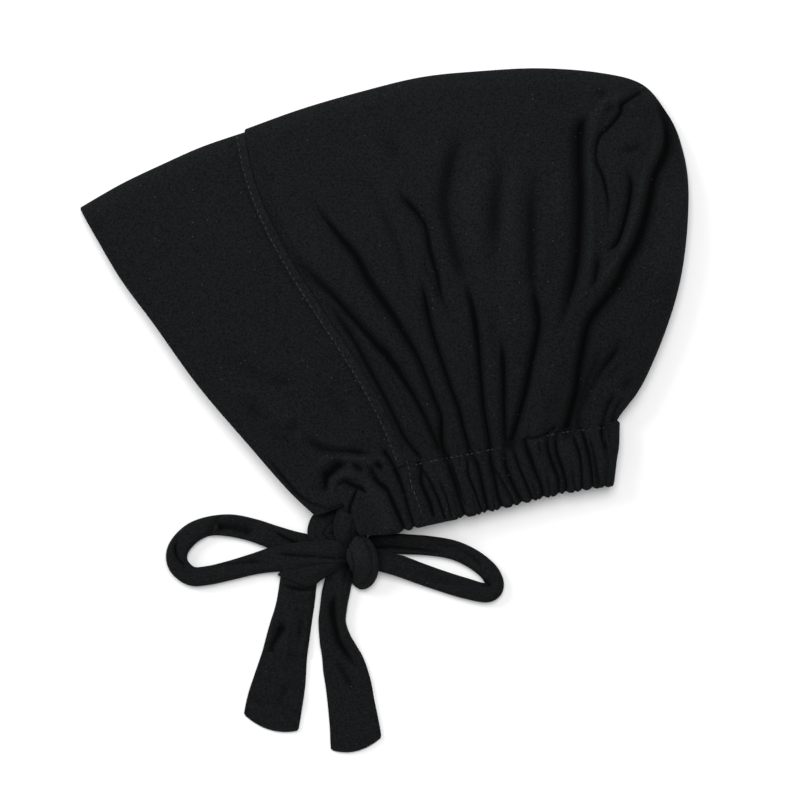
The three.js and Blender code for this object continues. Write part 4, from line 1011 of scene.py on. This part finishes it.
steps = np.linspace(0, 1, CASING_ALONG)
bend = np.linspace(0, math.pi, CASING_BEND + 2)[1:-1]
ones = np.ones(CASING_ALONG)
top_run = casing_layer(steps * reach, (low + 2 * turn) * ones, 0.0, 0 * ones, False)
ahead, above = np.sin(bend), np.cos(bend)
way, rise = np.sign(above), np.abs(above)
nape = casing_layer(
    np.full(CASING_BEND, reach), low + turn * (1 + way * rise**SQUARE_TURN),
    NAPE_REACH * turn * ahead[:, None] ** SQUARE_TURN,
    np.arctan2(ahead ** (2 - SQUARE_TURN) / NAPE_REACH, way * rise ** (2 - SQUARE_TURN)),
    False,
)
low_run = casing_layer(steps[::-1] * reach, low * ones, 0.0, math.pi * ones, True)
outer, inner, sunk = (np.concatenate(runs) for runs in zip(top_run, nape, low_run))
outer[..., 2] = np.maximum(outer[..., 2], 0.0)
casing = dressed(
    sewn(
        "drawstring_casing_cloth", outer, inner,
        np.arange(len(outer))[:, None] * casing_length / CASING_ALONG * CASING_GATHERED,
        np.linspace(0, CASING_HEIGHT_MM * MM, CASING_ACROSS + 1)[None, :],
        rim=CASING_RIM, shade=CASING_SHADE, sunk=PLEAT_SHADE * sunk - PLEAT_FREE_MM,
    ),
    "drawstring_casing", black_jersey,
)


# Topstitching: lockstitch in black polyester thread, its sheen painted into a colour a little
# lighter than the jersey's. One row holds the seam allowance down beside the crown and runs on
# through the casing, and a fainter one holds the top of the casing.
THREAD_MM, STITCH_MM = 0.6, 2.3
STITCH_PITCH_MM, STITCH_FROM_SEAM_MM = 3.2, 4.3
# Shares of the casing's length where this row isn't hidden under the crown's swell, and how far
# its thread stands proud in mm: it sinks deeper towards the nape
TOP_STITCHED = [(0.27, 0.60, -0.16), (0.76, 0.975, -0.26)]
TOP_STITCH_OFF, TOP_STITCH_PITCH_MM = 0.9, 2.6
SEAM_STITCHED = (0.985, 0.02)
SEAM_THROUGH_CASING = [
    (8.2, -72.5), (11.7, -81.8), (13.2, -90.8), (15.2, -96.2), (16.7, -100.2), (18.2, -104.8),
]
LINE_STEPS = 120
# Stitches turn a little to and fro, and lie higher and lower in turn
STITCH_TURN, TURN_RATE, LIE_RATE, LIE_DRIFT, DRIFT_RATE = 0.12, 2.4, 1.9, 0.7, 0.31
NEAREST = 4
# The thread's lighter colours are its painted sheen
thread = jersey(
    "black_polyester_thread", "1E2122", "363A3C", ridge_highlight=1.4, wale_mm=0.6, course_mm=0.35
)
bpy.ops.object.select_all(action="DESELECT")
bpy.ops.mesh.primitive_uv_sphere_add(segments=8, ring_count=7, radius=1.0)
pattern = bpy.context.object
pattern.scale = (STITCH_MM / 2 * MM, THREAD_MM / 2 * MM, THREAD_MM / 2 * MM)
bpy.ops.object.transform_apply(location=False, rotation=False, scale=True)
bpy.ops.object.shade_smooth()
stitch_points = np.array([v.co for v in pattern.data.vertices])
stitch_faces = [list(f.vertices) for f in pattern.data.polygons]
bpy.data.objects.remove(pattern)


def laid_on(faces, spots):
    """Places of spots in plan on a face, from the four nearest of its points."""
    points = faces.reshape(-1, 3)
    away = np.linalg.norm(points[None, :, :2] - spots[:, None], axis=-1)
    nearest = np.argsort(away, axis=1)[:, :NEAREST]
    weight = 1 / (np.take_along_axis(away, nearest, 1) + 1e-5)
    height = (points[nearest, 2] * weight).sum(1) / weight.sum(1)
    return np.concatenate([spots, height[:, None]], 1)


def stitch_line(line, pitch_mm):
    """Spots at an even pitch along a line in plan."""
    run = np.concatenate([[0.0], np.cumsum(np.linalg.norm(np.diff(line, axis=0), axis=1))])
    at = np.arange(pitch_mm * MM / 2, run[-1], pitch_mm * MM)
    return np.stack([np.interp(at, run, line[:, 0]), np.interp(at, run, line[:, 1])], 1)


def left_of(along):
    """The level direction to the left of a direction."""
    side = np.cross([0, 0, 1.0], along)
    return side / np.linalg.norm(side)


def stitches(name, rows):
    """One mesh with a copy of the stitch at each place of each row. A row is its places, how far
    its thread stands proud of them and how far that varies, in mm."""
    points, faces = [], []
    for places, proud_mm, uneven_mm in rows:
        ahead = np.gradient(places, axis=0)
        ahead /= np.linalg.norm(ahead, axis=1, keepdims=True)
        for k, (spot, along) in enumerate(zip(places, ahead)):
            turned = STITCH_TURN * math.sin(TURN_RATE * k)
            along = along * math.cos(turned) + left_of(along) * math.sin(turned)
            side = left_of(along)
            axes = np.array([along, side, np.cross(along, side)])
            base = len(points) * len(stitch_points)
            lie = math.sin(LIE_RATE * k + LIE_DRIFT * math.sin(DRIFT_RATE * k))
            moved = stitch_points @ axes + spot
            moved[:, 2] += (proud_mm + uneven_mm * lie) * MM
            points.append(np.maximum(moved, [-1, -1, 0.0]))
            faces += [[base + i for i in face] for face in stitch_faces]
    mesh = bpy.data.meshes.new(name)
    mesh.from_pydata(np.concatenate(points).tolist(), [], faces)
    mesh.polygons.foreach_set("use_smooth", np.ones(len(faces), bool))
    mesh.update()
    made = bpy.data.objects.new(name, mesh)
    bpy.context.scene.collection.objects.link(made)
    made.data.materials.append(thread)
    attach(made, "root")


seam_line = rib_point(np.zeros(LINE_STEPS), np.linspace(*SEAM_STITCHED, LINE_STEPS))
step = np.gradient(seam_line, axis=0)
step /= np.linalg.norm(step, axis=1, keepdims=True)
seam_line = seam_line + np.stack([step[:, 1], -step[:, 0]], 1) * STITCH_FROM_SEAM_MM * MM
seam_spots = stitch_line(seam_line, STITCH_PITCH_MM)
through_spots = stitch_line(line_through(np.array(SEAM_THROUGH_CASING) * MM)[0], STITCH_PITCH_MM)
upper_panel = panel_faces[:, :PANEL_UPPER]
lower_panel = panel_faces[:, PANEL_UPPER + 2 * PANEL_ROLL:]
upper_casing, lower_casing = top_run[0], low_run[0]
stitches("seam_topstitching", [
    (laid_on(upper_panel, seam_spots), 0.2, 0.05),
    (laid_on(lower_panel, seam_spots), -0.2, 0),
    (laid_on(upper_casing, through_spots), 0.3, 0.1),
    (laid_on(lower_casing, through_spots), -0.2, 0),
])
top_rows = []
for start, end, proud in TOP_STITCHED:
    shares = np.linspace(start, end, 100)
    spots = stitch_line(beside_casing(shares, TOP_STITCH_OFF), TOP_STITCH_PITCH_MM)
    top_rows += [(laid_on(upper_casing, spots), proud, 0.2), (laid_on(lower_casing, spots), 0.1, 0)]
stitches("casing_topstitching", top_rows)


# Ties: two straps, each a flat tube of jersey turned right side out. They leave the casing
# bunched, cross in a plain knot, and are tied in a bow whose loops roll in lengthwise.
TIE_WIDTH_MM, LOOP_WIDTH_MM, TIE_THICK_MM = 28.0, 23.0, 1.6
KNOT_CENTRE = place([0.458, -0.043])
# Little light gets in where the straps go into the knot: the middle of that shade and its shape,
# how far it reaches and fades, and how strong it is
KNOT_MIDDLE_MM, KNOT_SHAPE = (1.0, -1.5), (0.85, 1.15)
KNOT_SHADE_MM, KNOT_FADE_MM, KNOT_SHADE = 17.0, 10.0, 3.0
TIE_RIM, TIE_SHADE = 0.4, 1.7
# How square the curled strap is, and how far round it its creases show
GUTTER_SQUARE, CREASED_SPREAD, CREASED_FROM = 1.7, 1.6, 0.4
# Share of a tail from which its end runs on, then how narrow a bundle's pleats are, and how far
# they turn from its upper to its lower face and along it
TONGUE_FROM, RIB_NARROW, RIB_SHIFT, RIB_TWIST = 0.9, 6, 0.9, 1.6
# Routes from the knot's centre in mm: x, y, height of the underside, how many degrees the strap
# curls, how much of that height is left when pressed, and how many degrees its end is skewed.
LEFT_LOOP_ROUTE = [
    (-5.8, 3.5, 1, 250, 0.3, 0), (-17.5, 3.1, 0.3, 230, 0.3, 0), (-30.1, 5, 0, 225, 0.34, 0),
    (-41.5, 8.8, 0, 250, 0.5, 0), (-53, 12.8, 0, 265, 0.6, 0), (-64.5, 15.2, 0, 275, 0.6, 0),
    (-75.5, 14.8, 0, 320, 0.7, 0), (-84.5, 10.8, 0, 300, 0.7, 0), (-90.9, 3, 0, 290, 0.7, 0),
    (-90.6, -4.6, 0, 300, 0.7, 0), (-84.2, -10.1, 0, 325, 0.7, 0), (-75.5, -9.8, 0, 330, 0.7, 0),
    (-64.5, -7.3, 0, 320, 0.65, 0), (-53, -4.2, 0, 290, 0.6, 0), (-41.5, -1.5, 1.6, 230, 0.5, 0),
    (-30.1, 0, 5.8, 215, 0.4, 0), (-17.5, 1.4, 7.4, 230, 0.36, 0), (-5.8, 2.5, 8, 250, 0.34, 0),
]
RIGHT_LOOP_ROUTE = [
    (5.5, 5, 0, 320, 0.5, 0), (15.5, 6, 0, 310, 0.5, 0), (25.5, 5.7, 0, 310, 0.55, 0),
    (35.5, 5, 0, 320, 0.6, 0), (47, 3, 0, 325, 0.65, 0), (57, -1.5, 0, 325, 0.65, 0),
    (65.2, -8.2, 0, 330, 0.7, 0), (67.9, -15, 0, 335, 0.7, 0), (64, -18.6, 0, 330, 0.7, 0),
    (53, -16.2, 0, 300, 0.65, 0), (41, -12.5, 0, 295, 0.6, 0), (30.5, -8.8, 0.6, 290, 0.6, 0),
    (20.5, -5, 2.6, 285, 0.55, 0), (13, -2.8, 4.5, 290, 0.5, 0), (5.5, -0.7, 5.8, 310, 0.5, 0),
]
LEFT_TURN_ROUTE = [
    (-4.8, 2.9, 4.8, 300, 0.4, 0), (-15.3, -1.9, 4.8, 280, 0.45, 0),
    (-24.8, -7.2, 3.8, 240, 0.45, 0), (-32.9, -12.4, 1.9, 205, 0.4, 34),
]
LEFT_TAIL_ROUTE = [
    (-30.1, -9.6, 0.3, 190, 0.5, 0), (-31.7, -22, 0, 184, 0.4, 0), (-33, -29, 0, 178, 0.35, 0),
    (-35, -38, 0, 160, 0.3, 0), (-37.7, -51.5, 0, 134, 0.25, 0), (-40, -63.5, 0, 92, 0.2, -2),
    (-42.5, -74.5, 0, 55, 0.2, -4), (-44.2, -83.4, 0, 40, 0.2, -6),
]
RIGHT_TAIL_ROUTE = [
    (-5, 2, 1.9, 300, 0.4, 0), (-8.9, -7.9, 1.6, 280, 0.45, 0), (-11.5, -17.5, 0.3, 258, 0.5, 0),
    (-12.8, -25.5, 0, 266, 0.5, 0), (-13.5, -33.5, 0, 262, 0.5, 0), (-12, -42, 0, 223, 0.45, 0),
    (-9.7, -49, 0, 187, 0.4, 0), (-7.7, -55.4, 0, 156, 0.35, 0), (-5.5, -64.4, 0, 136, 0.3, 0),
    (-4, -74.5, 0, 128, 0.25, 3), (-2.5, -85, 0, 112, 0.2, 5), (-1.5, -94, 0, 92, 0.2, 8),
]
# Bunched lengths: x, y and height of the underside, then width and thickness, all in mm.
BOW_KNOT_ROUTE = [
    (-5.8, 8.5, 3.2, 8.4, 5.6), (-2.9, 6.5, 1.3, 14, 11.8), (0.5, 2.2, 0, 15.7, 15.7),
    (2.5, -3.6, 0, 15.1, 15.7), (2.2, -8.6, 0, 14, 12.3), (0.4, -11.9, 0, 11.8, 8.4),
    (-2.2, -13.9, 0, 6.7, 4.5),
]
UPPER_ROOT_ROUTE = [
    (-5, 24.5, 9.2, 10, 3.9), (-6.6, 18, 7.6, 11.4, 6.2), (-6.9, 12.2, 6.5, 11.4, 6.9),
    (-4.4, 7.9, 5.8, 9.6, 6.4), (-0.7, 4.3, 5.4, 7.6, 5.8),
]
LOWER_ROOT_ROUTE = [
    (-7.9, 25.2, 2.2, 11, 3.4), (-13.2, 20.8, 2.2, 14, 5), (-18, 15.6, 2.4, 14, 7.3),
    (-19, 10.8, 2.2, 13, 7.6), (-14, 7, 1.6, 12, 6.6), (-6.6, 5.4, 1.6, 10, 5.8),
]
# Creases of the straps, in columns as for the crown, with places in mm along and across the strap.
LEFT_LOOP_FOLDS = [
    (-2.0, 0.25, 1.4, 2.2, 0, 0, [(61, -10), (66, -3), (71, 3), (77, 10)]),
    (-3.2, 0, 4.2, 3.6, 0.4, 0.12, [(42, 2.5), (51, 1.5), (60, 1), (69, 1)]),
    (-1.6, 0.3, 1.2, 1.2, 0.2, 0.2, [(2, 2), (14, 1), (28, -1), (42, -3)]),
    (-1.8, 0.3, 1.3, 1.6, 0.3, 0.3, [(84, -4), (91, -1), (99, 2), (107, 3)]),
    (-1.4, 0.2, 1.6, 1.6, 0.3, 0.3, [(112, 4), (125, 3), (140, 1), (150, -2)]),
    (0.9, 0, 1.8, 1.8, 0.3, 0.3, [(108, -2), (122, -2), (138, -3)]),
    (-1.5, 0.3, 1.2, 1.4, 0.3, 0, [(148, 3), (163, 0.5), (175, -1.5), (189, -4)]),
    (-1.3, 0.2, 1.5, 1.5, 0.3, 0, [(158, -6), (170, -6), (189, -7)]),
    (-1.2, 0, 2.4, 2.4, 0.3, 0, [(160, 6), (174, 5), (189, 4)]),
]
RIGHT_LOOP_FOLDS = [
    (-2.0, 0.3, 1.6, 2.4, 0.1, 0.3, [(0, -1), (14, -1.5), (30, -2), (46, -2.5)]),
    (-1.3, 0.2, 1.2, 1.2, 0.3, 0.3, [(34, 2), (45, 1), (56, 0), (64, -1)]),
    (-2.4, 0.5, 1.0, 1.4, 0.2, 0.2, [(64, -6), (69, -2.5), (74, -3.5), (81, -5)]),
    (-0.9, 0, 2.0, 1.8, 0.4, 0.2, [(80, 1), (95, 0), (110, 1), (130, 2)]),
    (-1.8, 0, 2.6, 2.2, 0.4, 0.4, [(26, 0), (36, 1), (46, 0)]),
    (0.9, 0, 1.6, 1.6, 0.3, 0.3, [(84, -3), (100, -4), (116, -3)]),
    (-1.0, 0.2, 1.0, 1.0, 0.3, 0, [(104, -5), (120, -4), (137, -3)]),
]
LEFT_TURN_FOLDS = [
    (-1.6, 0.3, 1.3, 1.6, 0, 0.3, [(0, 1), (10, 0), (20, -3), (30, -6)]),
    (-1.2, 0.2, 1.2, 1.2, 0, 0.3, [(0, -5), (12, -6), (22, -9)]),
    (-1.0, 0, 2.0, 2.0, 0, 0.3, [(4, 6), (16, 6), (26, 5)]),
]
LEFT_TAIL_FOLDS = [
    (1.1, 0, 1.0, 1.2, 0.3, 0.3, [(18, -2), (35, 0), (50, 1.6)]),
    (-2.0, 0, 2.6, 3.2, 0.4, 0.3, [(22, -2.5), (32, -5.5), (43, -9)]),
    (-1.0, 0, 2.8, 2.8, 0.4, 0.4, [(54, 4), (62, 2.5), (68, 1)]),
    (-1.4, 0.2, 1.6, 1.6, 0, 0, [(5, -10), (7, 0), (6, 10)]),
    (-0.9, 0, 2.4, 2.4, 0.4, 0.4, [(12, 4), (26, 5), (42, 7)]),
]
RIGHT_TAIL_FOLDS = [
    (-2.6, 0.1, 4.0, 1.9, 0.3, 0.4, [(16, -0.5), (27, -0.5), (38, 1.4), (48, 2), (60, 5), (68, 7)]),
    (1.3, 0, 1.2, 1.6, 0.3, 0.3, [(16, 2.2), (27, 3), (40, 5)]),
    (-1.1, 0, 2.4, 2.4, 0.4, 0.4, [(48, -4), (62, -1), (76, 3)]),
    (-1.2, 0.3, 1.0, 1.0, 0, 0.4, [(2, 3), (10, 2.5), (20, 4)]),
    (-1.2, 0.3, 1.0, 1.0, 0, 0.4, [(2, -3), (10, -4), (22, -5)]),
]
strap_jersey = jersey(
    "strap_viscose_jersey", "0A0B0C", "18191A", ridge_highlight=1.3, wale_mm=1.1, course_mm=0.9
)


def along_route(route, steps):
    """Centres, directions and columns of a route at even steps."""
    rows = np.array(route, float)
    line = line_through(rows[:, :2] * MM + KNOT_CENTRE)
    at = np.interp(np.arange(len(rows)) / (len(rows) - 1), np.linspace(0, 1, len(line[1])), line[1])
    share = np.linspace(0, 1, steps)
    length = np.linalg.norm(np.diff(line[0], axis=0), axis=1).sum()
    columns = [eased(at, rows[:, k])(share)[:, None] for k in range(2, rows.shape[1])]
    return on_line(line, share), tangent_on(line, share), columns, share[:, None], length


def strap_faces(route, width_mm, steps, creases, tongue=0.0, cells=48):
    """Upper and lower faces of a strap that is curled lengthwise into a gutter, open side down.
    tongue is how far the middle of its end runs on, as a share of the strap's width."""
    centre, along, (rise, curl, press, skew), share, length = along_route(route, steps)
    curl, skew, width = np.radians(curl), np.radians(skew), width_mm * MM
    radius = width / curl
    angle = curl / 2 * np.linspace(-1, 1, cells)[None, :]
    across = np.sin(angle) * radius
    up = np.tanh(GUTTER_SQUARE * np.cos(angle)) / math.tanh(GUTTER_SQUARE) * press * radius
    out_x, out_z = press * np.sin(angle), np.cos(angle) * np.ones_like(press)
    size = np.hypot(out_x, out_z)
    out_x, out_z = out_x / size, out_z / size
    half = TIE_THICK_MM / 2 * MM
    flat = np.stack(np.broadcast_arrays(share * length, angle / curl * width), -1)
    up = up + folds(creases, flat) * smooth(CREASED_SPREAD * np.cos(angle) + CREASED_FROM)
    lift = np.maximum(rise, 0) * MM - (up - out_z * half).min(1, keepdims=True)
    side_x, side_y, cos, sin = -along[:, 1:], along[:, :1], np.cos(skew), np.sin(skew)
    side = np.concatenate([side_x * cos - side_y * sin, side_x * sin + side_y * cos], 1)
    rounded = 1 - (across / np.abs(across).max(1, keepdims=True)) ** 2
    end = smooth((share - TONGUE_FROM) / (1 - TONGUE_FROM))
    run_on = tongue * TIE_WIDTH_MM * MM * end * rounded
    faces = []
    for way in (1, -1):
        x, z = across + way * half * out_x, up + way * half * out_z + lift
        flat = centre[:, None] + side[:, None] * x[..., None] + along[:, None] * run_on[..., None]
        faces.append(np.concatenate([flat, np.maximum(z, 0.0)[..., None]], -1))
    return faces[0], faces[1], np.linspace(0, width, cells)[None, :], share * length


def bundle_faces(route, steps, ribs=0, depth=0.0, cells=40):
    """Upper and lower faces of a bunched strap, ribbed lengthwise where its cloth is pleated."""
    centre, along, (rise, wide, high), share, length = along_route(route, steps)
    angle = math.pi * (np.arange(cells) + 0.5)[None, :] / cells
    side = np.stack([-along[:, 1], along[:, 0]], -1)
    faces = []
    for way in (1, -1):
        turned = ribs * angle + RIB_SHIFT * way + RIB_TWIST * share
        rib = 1 - depth * np.exp(-RIB_NARROW * np.sin(turned) ** 2)
        x = -np.cos(angle) * wide / 2 * MM * rib
        z = way * np.sin(angle) * high / 2 * MM * rib + high / 2 * MM + rise * MM
        flat = centre[:, None] + side[:, None] * x[..., None]
        faces.append(np.concatenate([flat, np.maximum(z, 0.0)[..., None]], -1))
    across = np.linspace(0, 1, cells)[None, :] * TIE_WIDTH_MM * MM
    return faces[0], faces[1], across, share * length


def tie(name, made, node_name=None):
    """Makes a piece of strap from its faces, with painted shade where it goes into the knot, and
    dresses it in the strap jersey.
    """
    top, bottom, u, v = made
    from_knot = ((top[..., :2] - KNOT_CENTRE) / MM - KNOT_MIDDLE_MM) / KNOT_SHAPE
    near = smooth((KNOT_SHADE_MM - np.linalg.norm(from_knot, axis=-1)) / KNOT_FADE_MM)
    sunk = UNSHADED if name == "bow_knot" else KNOT_SHADE * near
    piece = sewn(name + "_cloth", top, bottom, u, v, rim=TIE_RIM, shade=TIE_SHADE, sunk=sunk)
    dressed(piece, node_name or name, strap_jersey)


tie(
    "bow_loop_left", strap_faces(LEFT_LOOP_ROUTE, LOOP_WIDTH_MM, 330, LEFT_LOOP_FOLDS),
)
tie(
    "bow_loop_right", strap_faces(RIGHT_LOOP_ROUTE, LOOP_WIDTH_MM, 260, RIGHT_LOOP_FOLDS),
)
tie(
    "tie_tail_right",
    strap_faces(RIGHT_TAIL_ROUTE, TIE_WIDTH_MM, 200, RIGHT_TAIL_FOLDS, tongue=0.12),
)
tie(
    "tie_turn_left", strap_faces(LEFT_TURN_ROUTE, TIE_WIDTH_MM, 70, LEFT_TURN_FOLDS),
    "tie_tail_left",
)
tie(
    "tie_tail_left",
    strap_faces(LEFT_TAIL_ROUTE, TIE_WIDTH_MM, 160, LEFT_TAIL_FOLDS, tongue=0.12),
)
tie(
    "tie_root_upper", bundle_faces(UPPER_ROOT_ROUTE, steps=60, ribs=2, depth=0.22),
)
tie(
    "tie_root_lower", bundle_faces(LOWER_ROOT_ROUTE, steps=80, ribs=4, depth=0.26),
)
tie(
    "bow_knot", bundle_faces(BOW_KNOT_ROUTE, steps=90, ribs=2, depth=0.2),
)
